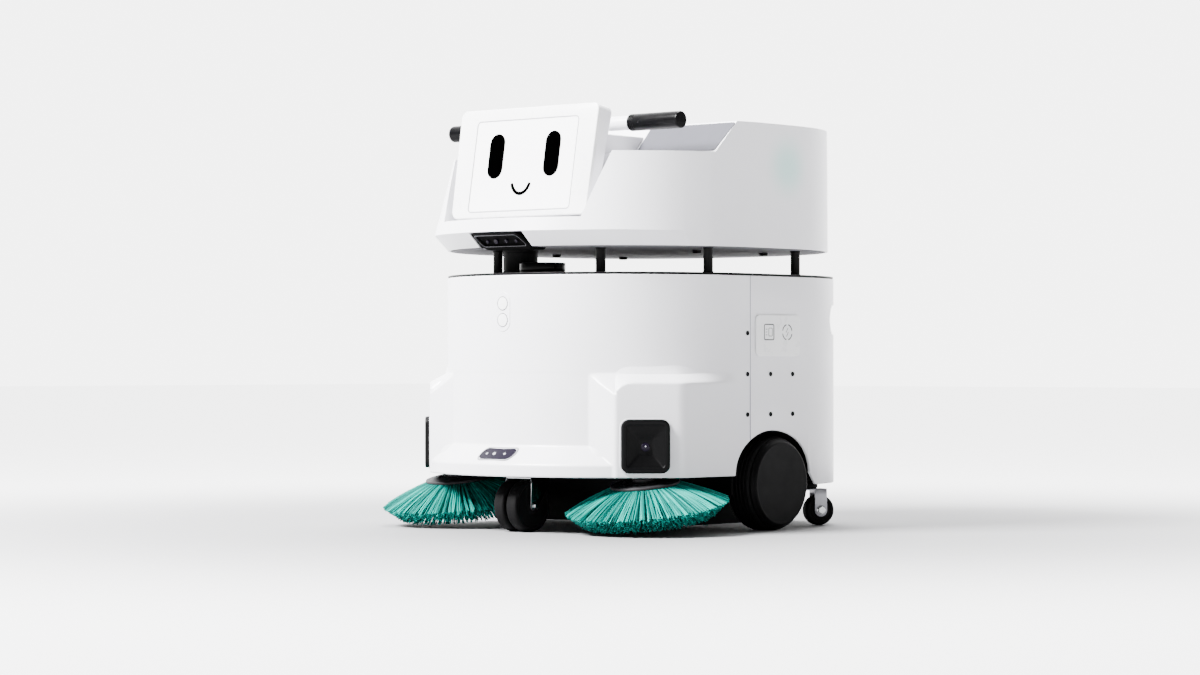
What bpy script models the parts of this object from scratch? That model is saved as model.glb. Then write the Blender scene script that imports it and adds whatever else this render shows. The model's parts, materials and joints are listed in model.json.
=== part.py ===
"""Commercial robotic floor sweeper, as an assembly of separate closed solids.

Metres, +Z up.  The front of the machine points to -Y and its side panel with the
service flap is on +X.  The origin is on the floor, below the middle of the footprint.
Each sub-part is one object with its own material; every piece that turns or slides
hangs on an empty that stands on its joint axis.
"""
import math

import bmesh
import bpy
from mathutils import Vector

# ------------------------------------------------------------------ driving dimensions
GAP = 0.0003                 # clearance between pieces that touch

# lower body: a half-round front, straight flanks and a blunter rear
HALF_WIDTH = 0.316
FRONT_CENTRE_Y = -0.020
REAR_CENTRE_Y = 0.070
REAR_DEPTH = 0.297
REAR_EXPONENT = 2.54
WALL = 0.004
SEAM_Y = -0.040              # joint line between the front and the rear shell
FRONT_BOTTOM = 0.099
REAR_BOTTOM = 0.078
DECK_TOP = 0.4535
DECK_THICK = 0.004
BASE_BOTTOM = 0.100
BASE_TOP = 0.106

# skirt round the front foot, and the two corner pods that carry the side cameras
SKIRT_RADIUS = 0.347
SKIRT_TOP = 0.120
SKIRT_FADE = 0.153
POD_PLANES = ((0.0, 0.272), (47.0, 0.347), (86.0, 0.3151))   # azimuth, distance
POD_AZIMUTH = math.radians(47.0)
POD_FACE = 0.347
POD_TOP = 0.262
POD_FADE = 0.279

# wheel arch in the flank
ARCH_Y = 0.022
ARCH_FRONT = 0.098
ARCH_REAR = 0.112
ARCH_FOOT = 0.100
ARCH_HEIGHT = 0.077
ARCH_TAIL_Y = 0.163
ARCH_TAIL_Z = 0.070

# upper body, standing on posts above the deck
UPPER_BOTTOM = 0.498
UPPER_BASE_THICK = 0.004
UPPER_RADIUS = 0.3155
UPPER_REAR_DEPTH = 0.2889
UPPER_REAR_EXPONENT = 2.35
UPPER_FLOOR = 0.499
CREASE_Z = 0.525
CREASE_REACH = 0.028
LOW_TOP = 0.663
LOW_TOP_RADIUS = 0.305
HIGH_TOP = 0.719
SLANT_FOOT_Y = -0.116
SLANT_HEAD_Y = -0.066
UPPER_SIDE_RADIUS = 0.3145
RECESS_BACK_Y = -0.215
RECESS_FLOOR = 0.548
RECESS_HALF_FLOOR = 0.163
RECESS_HALF_TOP = 0.187

# tilted head with the display
HEAD_CENTRE = Vector((0.0, -0.2839, 0.6504))
HEAD_TILT = math.radians(9.7)
HEAD_HALF_HEIGHT = 0.0987
HEAD_HALF_TOP = 0.164
HEAD_HALF_BOTTOM = 0.160
HEAD_CORNER = 0.014
HEAD_DEPTH_TOP = 0.038
HEAD_DEPTH_BOTTOM = 0.026
BEZEL_DEPTH = 0.006
SCREEN_HALF_WIDTH = 0.120
SCREEN_HALF_HEIGHT = 0.082
SCREEN_DROP = 0.0056

# handle bar
BAR_Y = -0.176
BAR_Z = 0.717
BAR_RADIUS = 0.0125
BAR_HALF = 0.269
GRIP_RADIUS = 0.015
GRIP_BORE = 0.0098
GRIP_FROM = 0.158
CONSOLE_HALF = 0.110
CONSOLE_TOP = 0.699
SADDLE_X = 0.060

# running gear
DRIVE_Y = 0.042
DRIVE_RADIUS = 0.083
TYRE_IN = 0.260
TYRE_OUT = 0.312
HUB_RADIUS = 0.060
CAP_RADIUS = 0.079
CAP_FACE_RADIUS = 0.071
CAP_OUT = 0.322
AXLE_RADIUS = 0.008
AXLE_END = 0.292
BRUSH_X = 0.222
BRUSH_Y = -0.215
BRUSH_Z = 0.090
BRUSH_TILT = math.radians(8.5)
BRUSH_RADIUS = 0.141
BRUSH_FLANGE = 0.061
BRUSH_DROP = 0.066
ROLLER_Y = 0.006
ROLLER_Z = 0.063
ROLLER_RADIUS = 0.059
ROLLER_HALF = 0.188
CASTER_Y = -0.287
CASTER_RADIUS = 0.046
CASTER_TRAIL = 0.020
REAR_CASTER = (0.245, 0.216)
REAR_CASTER_RADIUS = 0.028
REAR_CASTER_TRAIL = 0.021
REAR_CASTER_TURN = math.radians(60.0)

# roller drive
MOTOR_Y = -0.020
MOTOR_Z = 0.186
BELT_X = -0.216
BELT_HALF = 0.005
PULLEY_SMALL = 0.012
PULLEY_LARGE = 0.022
BELT_THICK = 0.003

# dust bin behind the roller, and the fan above it
BIN_HALF = 0.158
BIN_FRONT = 0.092
BIN_BACK = 0.322
BIN_BOTTOM = 0.110
BIN_TOP = 0.300
DOOR_HALF = 0.172
DOOR_BOTTOM = 0.106
DOOR_TOP = 0.332
BIN_BOSS = 0.3545
BOSS_HALF = 0.080
GRAB_LOW = 0.287
GRAB_HIGH = 0.312
GRAB_HALF = 0.060
FAN_Y = 0.190
FAN_BOTTOM = 0.334
FAN_TOP = 0.424

LIDAR_Y = -0.2335
LOWER_CAMERA_Z = 0.138
LOWER_CAMERA_HALF = 0.0115
CHIN_HALF = 0.0625
CHIN_TOP = 0.5245
POSTS = ((-0.123, -0.217), (0.123, -0.217), (0.276, -0.108), (0.275, 0.141),
         (-0.255, 0.212))
POST_RADIUS = 0.0085
DUCT = (-0.077, -0.207)
DUCT_RADIUS = 0.031

FLAP_Y = (-0.027, 0.0976)
FLAP_Z = (0.308, 0.381)
FLAP_IN = 0.3165
FLAP_OUT = 0.3195
TRAY_FLOOR = 0.287
BUTTON_TRAVEL = 0.003

GRIP_CUP_T = math.radians(41.0)
GRIP_CUP_Z = 0.375
GRIP_CUP_HALF = (0.070, 0.027)
GRIP_CUP_DEPTH = 0.036

WHITE = (0.86, 0.86, 0.87)
SOFT_GREY = (0.34, 0.34, 0.37)
BLACK = (0.012, 0.012, 0.013)
DARK = (0.030, 0.030, 0.033)
STEEL = (0.45, 0.45, 0.47)
TEAL = (0.0, 0.36, 0.29)


# ------------------------------------------------------------------ small helpers
def clear_scene():
    for old in list(bpy.data.objects):
        bpy.data.objects.remove(old, do_unlink=True)


def finish(obj, colour, roughness=0.4, metallic=0.0):
    """Give the object its own Principled material."""
    material = bpy.data.materials.new(obj.name + "_finish")
    material.use_nodes = True
    shader = material.node_tree.nodes["Principled BSDF"]
    shader.inputs["Base Color"].default_value = (*colour, 1.0)
    shader.inputs["Roughness"].default_value = roughness
    shader.inputs["Metallic"].default_value = metallic
    obj.data.materials.clear()
    obj.data.materials.append(material)
    return obj


def add_mesh(name, points, faces):
    mesh = bpy.data.meshes.new(name)
    mesh.from_pydata([tuple(p) for p in points], [], faces)
    work = bmesh.new()
    work.from_mesh(mesh)
    bmesh.ops.recalc_face_normals(work, faces=work.faces[:])
    work.to_mesh(mesh)
    work.free()
    mesh.shade_smooth()
    mesh.set_sharp_from_angle(angle=math.radians(32))
    obj = bpy.data.objects.new(name, mesh)
    bpy.context.scene.collection.objects.link(obj)
    return obj


def sweep(name, sections, closed=False):
    """Join closed sections of equal length, capping both ends unless it closes on itself."""
    count = len(sections[0])
    points = [p for section in sections for p in section]
    faces = []
    last = len(sections) if closed else len(sections) - 1
    for i in range(last):
        base = i * count
        ahead = (i + 1) % len(sections) * count
        for j in range(count):
            k = (j + 1) % count
            faces.append((base + j, base + k, ahead + k, ahead + j))
    if not closed:
        faces.append(tuple(range(count)))
        faces.append(tuple(range(last * count, (last + 1) * count)))
    return add_mesh(name, points, faces)


def prism_z(name, outline, low, high):
    return sweep(name, [[(x, y, low) for x, y in outline], [(x, y, high) for x, y in outline]])


def prism_x(name, outline, low, high):
    return sweep(name, [[(low, y, z) for y, z in outline], [(high, y, z) for y, z in outline]])


def block(name, low, high):
    outline = ((low[0], low[1]), (high[0], low[1]), (high[0], high[1]), (low[0], high[1]))
    return prism_z(name, outline, low[2], high[2])


def turned(name, profile, steps=20):
    """Solid of revolution about local Z from (radius, height) pairs, a disc at each end."""
    sections = []
    for radius, height in profile:
        ring = []
        for i in range(steps):
            angle = math.tau * i / steps
            ring.append((radius * math.cos(angle), radius * math.sin(angle), height))
        sections.append(ring)
    return sweep(name, sections)


def turned_ring(name, profile, steps=20):
    """Ring about local Z from a closed (radius, height) section that stays off the axis."""
    sections = []
    for i in range(steps):
        angle = math.tau * i / steps
        sections.append([(r * math.cos(angle), r * math.sin(angle), h) for r, h in profile])
    return sweep(name, sections, closed=True)


def cylinder(name, centre, radius, low, high, steps=16):
    obj = turned(name, ((radius, low), (radius, high)), steps)
    obj.location = (centre[0], centre[1], 0.0)
    return obj


def rounded(half_x, half_y, corner, steps=3):
    """Corner-rounded rectangle, counter-clockwise, centred on the origin."""
    outline = []
    for quarter in range(4):
        sign_x = (1, -1, -1, 1)[quarter]
        sign_y = (1, 1, -1, -1)[quarter]
        for i in range(steps + 1):
            angle = math.radians(90 * quarter + 90 * i / steps)
            x = sign_x * (half_x - corner) + corner * math.cos(angle)
            y = sign_y * (half_y - corner) + corner * math.sin(angle)
            outline.append((x, y))
    return outline


def cut(obj, tool, operation="DIFFERENCE"):
    """Add an exact Boolean and take the tool out of the build."""
    modifier = obj.modifiers.new("cut_" + tool.name, "BOOLEAN")
    modifier.operation = operation
    modifier.solver = "EXACT"
    modifier.object = tool
    tool.hide_render = True
    tool.display_type = "WIRE"
    return obj


def axis_empty(name, location, rotation=(0.0, 0.0, 0.0)):
    empty = bpy.data.objects.new(name, None)
    empty.location = location
    empty.rotation_euler = rotation
    bpy.context.scene.collection.objects.link(empty)
    return empty


def hang(obj, empty, location=(0.0, 0.0, 0.0), rotation=(0.0, 0.0, 0.0)):
    obj.parent = empty
    obj.location = location
    obj.rotation_euler = rotation
    return obj


SIDES = (("left", -1), ("right", 1))
ALONG_X = (0.0, math.radians(90), 0.0)


def step(value, low, high):
    """Smooth ramp from 0 at low to 1 at high."""
    t = min(1.0, max(0.0, (value - low) / (high - low)))
    return t * t * (3 - 2 * t)


# ------------------------------------------------------------------ body outlines
def front_point(angle, radius):
    return radius * math.sin(angle), FRONT_CENTRE_Y - radius * math.cos(angle)


def rear_point(turn, inset=0.0, depth=REAR_DEPTH, exponent=REAR_EXPONENT):
    """Point of the rear outline; turn runs from 0 on +X to pi on -X."""
    power = 2 / exponent
    across = math.cos(turn)
    back = math.sin(turn)
    x = math.copysign(abs(across) ** power, across) * (HALF_WIDTH - inset)
    y = REAR_CENTRE_Y + abs(back) ** power * (depth - inset)
    return x, y


def body_outline(inset, depth=REAR_DEPTH, exponent=REAR_EXPONENT):
    front_steps = 32
    rear_steps = 28
    outline = []
    for i in range(front_steps + 1):
        angle = math.radians(-90 + 180 * i / front_steps)
        outline.append(front_point(angle, HALF_WIDTH - inset))
    for i in range(rear_steps + 1):
        outline.append(rear_point(math.pi * i / rear_steps, inset, depth, exponent))
    return outline


def pod_radius(angle):
    """Distance from the front centre to the corner pod's faces at this azimuth."""
    reach = []
    for azimuth, distance in POD_PLANES:
        facing = math.cos(abs(angle) - math.radians(azimuth))
        if facing > 0.1:
            reach.append(distance / facing)
    return min(reach)


def front_radius(angle, z):
    """Outer radius of the front shell about the front centre."""
    radius = HALF_WIDTH
    if abs(angle) < POD_AZIMUTH:
        fade = min(1.0, max(0.0, (SKIRT_FADE - z) / (SKIRT_FADE - SKIRT_TOP)))
        radius = HALF_WIDTH + (SKIRT_RADIUS - HALF_WIDTH) * fade
    fade = min(1.0, max(0.0, (POD_FADE - z) / (POD_FADE - POD_TOP)))
    return max(radius, HALF_WIDTH + (pod_radius(angle) - HALF_WIDTH) * fade)


def arch_outline(margin=0.0):
    """Wheel-arch opening in the Y-Z plane, from its front foot over to its rear tail."""
    outline = [(ARCH_Y - ARCH_FRONT - margin, ARCH_TAIL_Z - 0.03)]
    for i in range(17):
        angle = math.pi * (1 - i / 16)
        half = ARCH_REAR if math.cos(angle) > 0 else ARCH_FRONT
        y = ARCH_Y + (half + margin) * math.cos(angle)
        z = ARCH_FOOT + (ARCH_HEIGHT + margin) * math.sin(angle)
        outline.append((y, z))
    outline.append((ARCH_TAIL_Y + margin, ARCH_TAIL_Z))
    outline.append((ARCH_TAIL_Y + margin, ARCH_TAIL_Z - 0.03))
    return outline


# ------------------------------------------------------------------ lower body
def make_front_shell():
    seam = math.acos((FRONT_CENTRE_Y - SEAM_Y + GAP) / HALF_WIDTH)
    edges = [math.degrees(seam), 81.7, 58.7, 38.8, 30.7]
    angles = {0.0}
    for edge in edges:
        angles.update((edge, -edge))
    for i in range(-21, 22):
        angle = 4.0 * i
        if min(abs(abs(angle) - edge) for edge in edges) > 0.7:
            angles.add(angle)
    levels = (FRONT_BOTTOM, SKIRT_TOP, SKIRT_FADE, POD_TOP, POD_FADE,
              DECK_TOP - DECK_THICK - GAP)
    sections = []
    for degrees in sorted(angles):
        angle = math.radians(degrees)
        section = []
        for z in levels:
            section.append((*front_point(angle, front_radius(angle, z)), z))
        for z in reversed(levels):
            section.append((*front_point(angle, front_radius(angle, z) - WALL), z))
        sections.append(section)
    shell = sweep("front_shell", sections)
    tool = prism_x("arch_tool_front", arch_outline(), -0.40, 0.40)
    return finish(cut(shell, tool), WHITE, 0.32)


def rear_wall(name, low, high, outer=0.0, thick=WALL):
    """Wall round the back from seam to seam."""
    seam = math.acos((FRONT_CENTRE_Y - SEAM_Y - GAP) / HALF_WIDTH)
    stations = [("front", seam), ("front", math.pi / 2)]
    stations += [("rear", math.pi * i / 32) for i in range(33)]
    stations += [("front", -math.pi / 2), ("front", -seam)]
    sections = []
    for kind, turn in stations:
        if kind == "front":
            far = front_point(turn, HALF_WIDTH - outer)
            near = front_point(turn, HALF_WIDTH - outer - thick)
        else:
            far = rear_point(turn, outer)
            near = rear_point(turn, outer + thick)
        sections.append([(*far, low), (*far, high), (*near, high), (*near, low)])
    return sweep(name, sections)


def grip_cup_frame(side):
    """Middle and outward direction of the recessed lifting grip at a rear corner."""
    x, y = rear_point(GRIP_CUP_T)
    ahead = Vector(rear_point(GRIP_CUP_T + 0.01))
    along = ahead - Vector((x, y))
    turn = math.atan2(-along.x, along.y)
    return Vector((side * x, y, GRIP_CUP_Z)), side * turn if side > 0 else math.pi - turn


def make_rear_shell():
    shell = rear_wall("rear_shell", REAR_BOTTOM, DECK_TOP - DECK_THICK - GAP)
    cut(shell, prism_x("arch_tool_rear", arch_outline(), -0.40, 0.40))
    margin = 0.001
    cut(shell, block("door_tool", (-DOOR_HALF - margin, 0.24, DOOR_BOTTOM - margin),
                     (DOOR_HALF + margin, 0.40, DOOR_TOP + margin)))
    low = (0.290, FLAP_Y[0] + 0.012, FLAP_Z[0] + 0.010)
    high = (0.330, FLAP_Y[1] - 0.012, FLAP_Z[1] - 0.010)
    cut(shell, block("flap_tool", low, high))
    for name, side in SIDES:
        cup = make_grip_form("grip_cup_tool_" + name, side, -GRIP_CUP_DEPTH, 0.03, -0.003)
        inside = prism_z("grip_trim_tool_" + name, body_outline(0.0004), 0.30, 0.44)
        cut(shell, cut(cup, inside, "INTERSECT"), "UNION")
        cut(shell, make_grip_form("grip_room_tool_" + name, side, 0.003 - GRIP_CUP_DEPTH, 0.04, 0.0))
    return finish(shell, WHITE, 0.32)


def make_grip_form(name, side, low, high, inset):
    """Stadium prism along the outward direction of a rear corner grip."""
    middle, turn = grip_cup_frame(side)
    half_y = GRIP_CUP_HALF[0] - inset
    half_z = GRIP_CUP_HALF[1] - inset
    outline = rounded(half_y, half_z, half_z - 0.0001, 6)
    obj = prism_x(name, outline, low, high)
    obj.location = middle
    obj.rotation_euler = (0.0, 0.0, turn)
    return obj


def make_bin_door():
    door = rear_wall("bin_door", REAR_BOTTOM + 0.01, DECK_TOP - 0.03)
    tool = block("door_form", (-DOOR_HALF, 0.24, DOOR_BOTTOM), (DOOR_HALF, 0.40, DOOR_TOP))
    cut(door, tool, "INTERSECT")
    grab = block("door_grab_tool", (-GRAB_HALF, 0.30, GRAB_LOW), (GRAB_HALF, 0.42, GRAB_HIGH))
    return finish(cut(door, grab), WHITE, 0.32)


def make_base_plate():
    plate = prism_z("base_plate", body_outline(WALL + 0.001), BASE_BOTTOM, BASE_TOP)
    hole = block("roller_hole_tool", (-0.209, ROLLER_Y - 0.074, 0.05), (0.209, ROLLER_Y + 0.085, 0.2))
    cut(plate, hole)
    belt_low = (BELT_X - 0.009, ROLLER_Y - 0.032, 0.05)
    cut(plate, block("belt_slot_tool", belt_low, (-0.205, ROLLER_Y + 0.032, 0.2)))
    for name, side in SIDES:
        near = side * 0.246
        far = side * 0.34
        tool = block("well_hole_tool_" + name, (min(near, far), ARCH_Y - 0.105, 0.05),
                     (max(near, far), ARCH_Y + 0.119, 0.2))
        cut(plate, tool)
        stem = cylinder("brush_hole_tool_" + name, (side * BRUSH_X, BRUSH_Y), 0.031, 0.05, 0.2)
        cut(plate, stem)
    return finish(plate, DARK, 0.5)


def make_deck():
    plate = prism_z("deck_plate", body_outline(0.0), DECK_TOP - DECK_THICK, DECK_TOP)
    finish(plate, DARK, 0.45)
    for i, place in enumerate(POSTS):
        post = cylinder("deck_post_%d" % (i + 1), place, POST_RADIUS, DECK_TOP + GAP,
                        UPPER_BOTTOM - GAP, 16)
        finish(post, BLACK, 0.35, 0.3)
    duct = cylinder("cable_duct", DUCT, DUCT_RADIUS, DECK_TOP + GAP, UPPER_BOTTOM - GAP)
    finish(duct, BLACK, 0.5)


def make_wheel_wells():
    for name, side in SIDES:
        inner, outer = side * 0.249, side * 0.3115
        well = prism_x("wheel_well_" + name, arch_outline(0.004), min(inner, outer),
                       max(inner, outer))
        inner, outer = side * 0.252, side * 0.33
        room = prism_x("well_tool_" + name, arch_outline(0.001), min(inner, outer),
                       max(inner, outer))
        foot = block("well_foot_tool_" + name, (-0.4, -0.2, 0.0), (0.4, 0.3, 0.065))
        tail_low = (-0.4, ARCH_Y + 0.118, 0.0)
        tail = block("well_tail_tool_" + name, tail_low, (0.4, 0.3, BASE_TOP + 0.002))
        hole = cylinder("well_axle_tool_" + name, (0.0, 0.0), 0.012, 0.20, 0.27, 20)
        hole.rotation_euler = (0.0, side * math.radians(90), 0.0)
        hole.location = (0.0, DRIVE_Y, DRIVE_RADIUS)
        for tool in (room, foot, tail, hole):
            cut(well, tool)
        inside = prism_z("well_trim_tool_" + name, body_outline(WALL + 0.0008), 0.0, 0.3)
        cut(well, inside, "INTERSECT")
        finish(well, BLACK, 0.7)


# ------------------------------------------------------------------ upper body
def flank_point(angle, radius, foot):
    """Point of the front outline that runs straight from the slant's foot to the widest place."""
    x, y = front_point(angle, radius)
    if abs(angle) > foot:
        start = front_point(foot, radius)
        share = (y - start[1]) / (FRONT_CENTRE_Y - start[1])
        x = math.copysign(start[0] + (radius - start[0]) * share, angle)
    return x, y


def upper_rings(inset):
    """Rings of the upper body and the indices where its top steps up to the rear block."""
    foot = math.acos((FRONT_CENTRE_Y - SLANT_FOOT_Y) / UPPER_SIDE_RADIUS)
    head = math.acos((FRONT_CENTRE_Y - SLANT_HEAD_Y) / UPPER_SIDE_RADIUS)
    front = [foot * (i / 14 - 1) for i in range(29)]
    front = [-math.pi / 2, -head] + front + [head, math.pi / 2]
    floor, crease, top = [], [], []
    for angle in front:
        swell = CREASE_REACH * (1 - step(abs(angle), math.radians(34), math.radians(70)))
        lean = step(abs(angle), math.radians(45), foot)
        crown = LOW_TOP_RADIUS + (UPPER_SIDE_RADIUS - LOW_TOP_RADIUS) * lean
        high = abs(angle) > (foot + head) / 2
        floor.append((*front_point(angle, UPPER_RADIUS - inset), UPPER_FLOOR))
        crease.append((*flank_point(angle, UPPER_RADIUS + swell - inset, foot), CREASE_Z))
        top.append((*flank_point(angle, crown - inset, foot), (HIGH_TOP if high else LOW_TOP) - inset))
    side_inset = HALF_WIDTH - UPPER_RADIUS + inset
    crown_inset = HALF_WIDTH - UPPER_SIDE_RADIUS + inset
    for i in range(37):
        turn = math.pi * i / 36
        wall = rear_point(turn, side_inset, UPPER_REAR_DEPTH, UPPER_REAR_EXPONENT)
        rim = rear_point(turn, crown_inset, UPPER_REAR_DEPTH, UPPER_REAR_EXPONENT)
        floor.append((*wall, UPPER_FLOOR))
        crease.append((*wall, CREASE_Z))
        top.append((*rim, HIGH_TOP - inset))
    return floor, crease, top


def upper_form(name, inset=0.0, below=0.0):
    """Closed solid of the upper body, shrunk by inset, with a stepped top and a foot below."""
    rings = upper_rings(inset)
    count = len(rings[0])
    foot = [(x, y, z - below) for x, y, z in rings[0]] if below else []
    points = foot + rings[0] + rings[1] + rings[2]
    faces = [tuple(range(count))]
    levels = len(points) // count - 1
    for level in range(levels):
        base = level * count
        for j in range(count):
            k = (j + 1) % count
            faces.append((base + j, base + k, base + count + k, base + count + j))
    crown = levels * count
    low_part = range(2, 31)
    faces.append(tuple(crown + j for j in low_part))
    faces.append((crown + 1, crown + 2, crown + 30, crown + 31))
    faces.append(tuple(crown + j for j in [*range(31, count), 0, 1]))
    return add_mesh(name, points, faces)


def recess_form(name, grow, back):
    """Wedge in front of the upper body in which the head stands."""
    slope = (RECESS_HALF_TOP - RECESS_HALF_FLOOR) / (LOW_TOP - RECESS_FLOOR)
    high = LOW_TOP + 0.02
    half_low = RECESS_HALF_FLOOR + grow
    half_high = RECESS_HALF_FLOOR + slope * (high - RECESS_FLOOR) + grow
    outline = ((-half_low, RECESS_FLOOR - grow), (half_low, RECESS_FLOOR - grow),
               (half_high, high), (-half_high, high))
    ends = (-0.42, back + grow)
    return sweep(name, [[(x, y, z) for x, z in outline] for y in ends])


def make_upper_body():
    rim = 0.0015             # the floor plate lies inside the shell's wall
    inset = HALF_WIDTH - UPPER_RADIUS + WALL + rim
    base = prism_z("upper_base", body_outline(inset, UPPER_REAR_DEPTH, UPPER_REAR_EXPONENT),
                   UPPER_BOTTOM, UPPER_BOTTOM + UPPER_BASE_THICK)
    notch_low = (-CHIN_HALF, -0.42, UPPER_BOTTOM - 0.02)
    notch_high = (CHIN_HALF, -0.285, CHIN_TOP)
    cut(base, block("chin_tool_base", notch_low, notch_high))
    finish(base, SOFT_GREY, 0.5)
    shell = upper_form("upper_shell")
    cavity = upper_form("cavity_tool", WALL, 0.02)
    cut(cavity, recess_form("cavity_recess_tool", WALL, RECESS_BACK_Y))
    cut(shell, cavity)
    cut(shell, recess_form("recess_tool", 0.0, RECESS_BACK_Y))
    cut(shell, block("chin_tool_shell", notch_low, notch_high))
    finish(shell, WHITE, 0.32)


def head_back_y(z):
    """World Y of the head's rear plane at height z."""
    mean = (HEAD_DEPTH_TOP + HEAD_DEPTH_BOTTOM) / 2
    slope = (HEAD_DEPTH_TOP - HEAD_DEPTH_BOTTOM) / (2 * HEAD_HALF_HEIGHT)
    sine = math.sin(HEAD_TILT)
    cosine = math.cos(HEAD_TILT)
    up = (z - HEAD_CENTRE.z + mean * sine) / (cosine - slope * sine)
    return HEAD_CENTRE.y + (mean + slope * up) * cosine + up * sine


def make_console():
    low = LOW_TOP + GAP
    run = (SLANT_HEAD_Y - SLANT_FOOT_Y) / (HIGH_TOP - LOW_TOP)
    clear = 0.0006
    foot = SLANT_FOOT_Y + run * (low - LOW_TOP) - clear
    head = SLANT_FOOT_Y + run * (CONSOLE_TOP - LOW_TOP) - clear
    outline = ((head_back_y(low) + GAP * 2, low), (foot, low), (head, CONSOLE_TOP),
               (head_back_y(CONSOLE_TOP) + GAP * 2, CONSOLE_TOP))
    console = prism_x("console_cover", outline, -CONSOLE_HALF, CONSOLE_HALF)
    finish(console, WHITE, 0.32)


def head_ring(depth_of, inset=0.0):
    """Rounded trapezoid outline of the head, in head coordinates (x, depth, up)."""
    ring = []
    corner = HEAD_CORNER - inset * 0.5
    for x, up in rounded(HEAD_HALF_TOP - inset, HEAD_HALF_HEIGHT - inset, corner, 4):
        taper = (HEAD_HALF_TOP - HEAD_HALF_BOTTOM) * (HEAD_HALF_HEIGHT - up)
        narrow = 1 - taper / (2 * HEAD_HALF_HEIGHT * HEAD_HALF_TOP)
        ring.append((x * narrow, depth_of(up), up))
    return ring


def head_depth(up):
    middle = (HEAD_DEPTH_TOP + HEAD_DEPTH_BOTTOM) / 2
    return middle + (HEAD_DEPTH_TOP - HEAD_DEPTH_BOTTOM) * up / (2 * HEAD_HALF_HEIGHT)


def make_head():
    pose = axis_empty("head_pose", HEAD_CENTRE, (-HEAD_TILT, 0.0, 0.0))
    back = sweep("head_back", [head_ring(lambda up: BEZEL_DEPTH + GAP), head_ring(head_depth)])
    room = sweep("head_room_tool", [head_ring(lambda up: -0.01, 0.003),
                                    head_ring(lambda up: head_depth(up) - 0.003, 0.003)])
    cut(back, room)
    bezel = sweep("head_bezel", [head_ring(lambda up: 0.0), head_ring(lambda up: BEZEL_DEPTH)])
    window_low = (-SCREEN_HALF_WIDTH, -0.01, -SCREEN_HALF_HEIGHT - SCREEN_DROP)
    window_high = (SCREEN_HALF_WIDTH, 0.02, SCREEN_HALF_HEIGHT - SCREEN_DROP)
    window = block("window_tool", window_low, window_high)
    cut(bezel, window)
    slack = GAP
    screen = block("display_panel",
                   (window_low[0] + slack, 0.0004, window_low[2] + slack),
                   (window_high[0] - slack, BEZEL_DEPTH - GAP, window_high[2] - slack))
    for obj in (back, room, bezel, window, screen):
        hang(obj, pose)
    finish(back, WHITE, 0.35)
    finish(bezel, WHITE, 0.30)
    finish(screen, (0.84, 0.84, 0.85), 0.15)


def make_handle():
    neck = GRIP_BORE - GAP
    bar = turned("handle_bar", ((neck, -BAR_HALF), (neck, -GRIP_FROM), (BAR_RADIUS, -GRIP_FROM),
                                (BAR_RADIUS, GRIP_FROM), (neck, GRIP_FROM), (neck, BAR_HALF)), 20)
    bar.rotation_euler = ALONG_X
    bar.location = (0.0, BAR_Y, BAR_Z)
    for name, side in SIDES:
        low = (side * SADDLE_X - 0.014, BAR_Y - 0.009, CONSOLE_TOP + GAP)
        high = (side * SADDLE_X + 0.014, BAR_Y + 0.009, BAR_Z)
        cut(bar, block("saddle_tool_" + name, low, high), "UNION")
        mouth = GRIP_FROM + GAP
        grip = turned("grip_" + name, ((GRIP_BORE, BAR_HALF + GAP), (GRIP_BORE, mouth),
                                       (GRIP_RADIUS - 0.001, mouth), (GRIP_RADIUS, mouth + 0.0015),
                                       (GRIP_RADIUS, BAR_HALF + 0.002),
                                       (GRIP_RADIUS - 0.002, BAR_HALF + 0.004)))
        grip.rotation_euler = (0.0, side * math.radians(90), 0.0)
        grip.location = (0.0, BAR_Y, BAR_Z)
        finish(grip, DARK, 0.45)
    finish(bar, WHITE, 0.35)


# ------------------------------------------------------------------ sensors
def chin_surface(x, z, proud):
    """Y of the upper body's lower front band at x and z."""
    rise = (z - UPPER_FLOOR) / (CREASE_Z - UPPER_FLOOR)
    radius = UPPER_RADIUS + CREASE_REACH * rise + proud
    return FRONT_CENTRE_Y - math.sqrt(radius * radius - x * x)


def make_chin_camera():
    sections = []
    for i in range(9):
        x = -0.0615 + 0.123 * i / 8
        low = 0.494
        high = 0.5235
        sections.append([(x, chin_surface(x, low, 0.001), low), (x, chin_surface(x, high, 0.001), high),
                         (x, -0.290, high), (x, -0.290, low)])
    finish(sweep("chin_camera", sections), BLACK, 0.2)


def make_lower_camera():
    """Slanted camera window lying on the skirt's slope."""
    lean = (SKIRT_RADIUS - HALF_WIDTH) / (SKIRT_FADE - SKIRT_TOP)
    middle = LOWER_CAMERA_Z
    half_length = 0.0445
    flat = half_length - LOWER_CAMERA_HALF
    sections = []
    for i in range(13):
        x = half_length * (i / 6 - 1)
        bend = max(0.0, (abs(x) - flat) / LOWER_CAMERA_HALF)
        half = LOWER_CAMERA_HALF * math.sqrt(max(0.06, 1 - bend ** 2))
        section = []
        for z, proud in ((middle - half, GAP), (middle + half, GAP),
                         (middle + half - 0.001, 0.0025), (middle - half + 0.001, 0.0025)):
            radius = SKIRT_RADIUS - lean * (z - SKIRT_TOP) + proud
            section.append((x, FRONT_CENTRE_Y - math.sqrt(radius * radius - x * x), z))
        sections.append(section)
    finish(sweep("lower_camera", sections), BLACK, 0.1)


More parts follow.
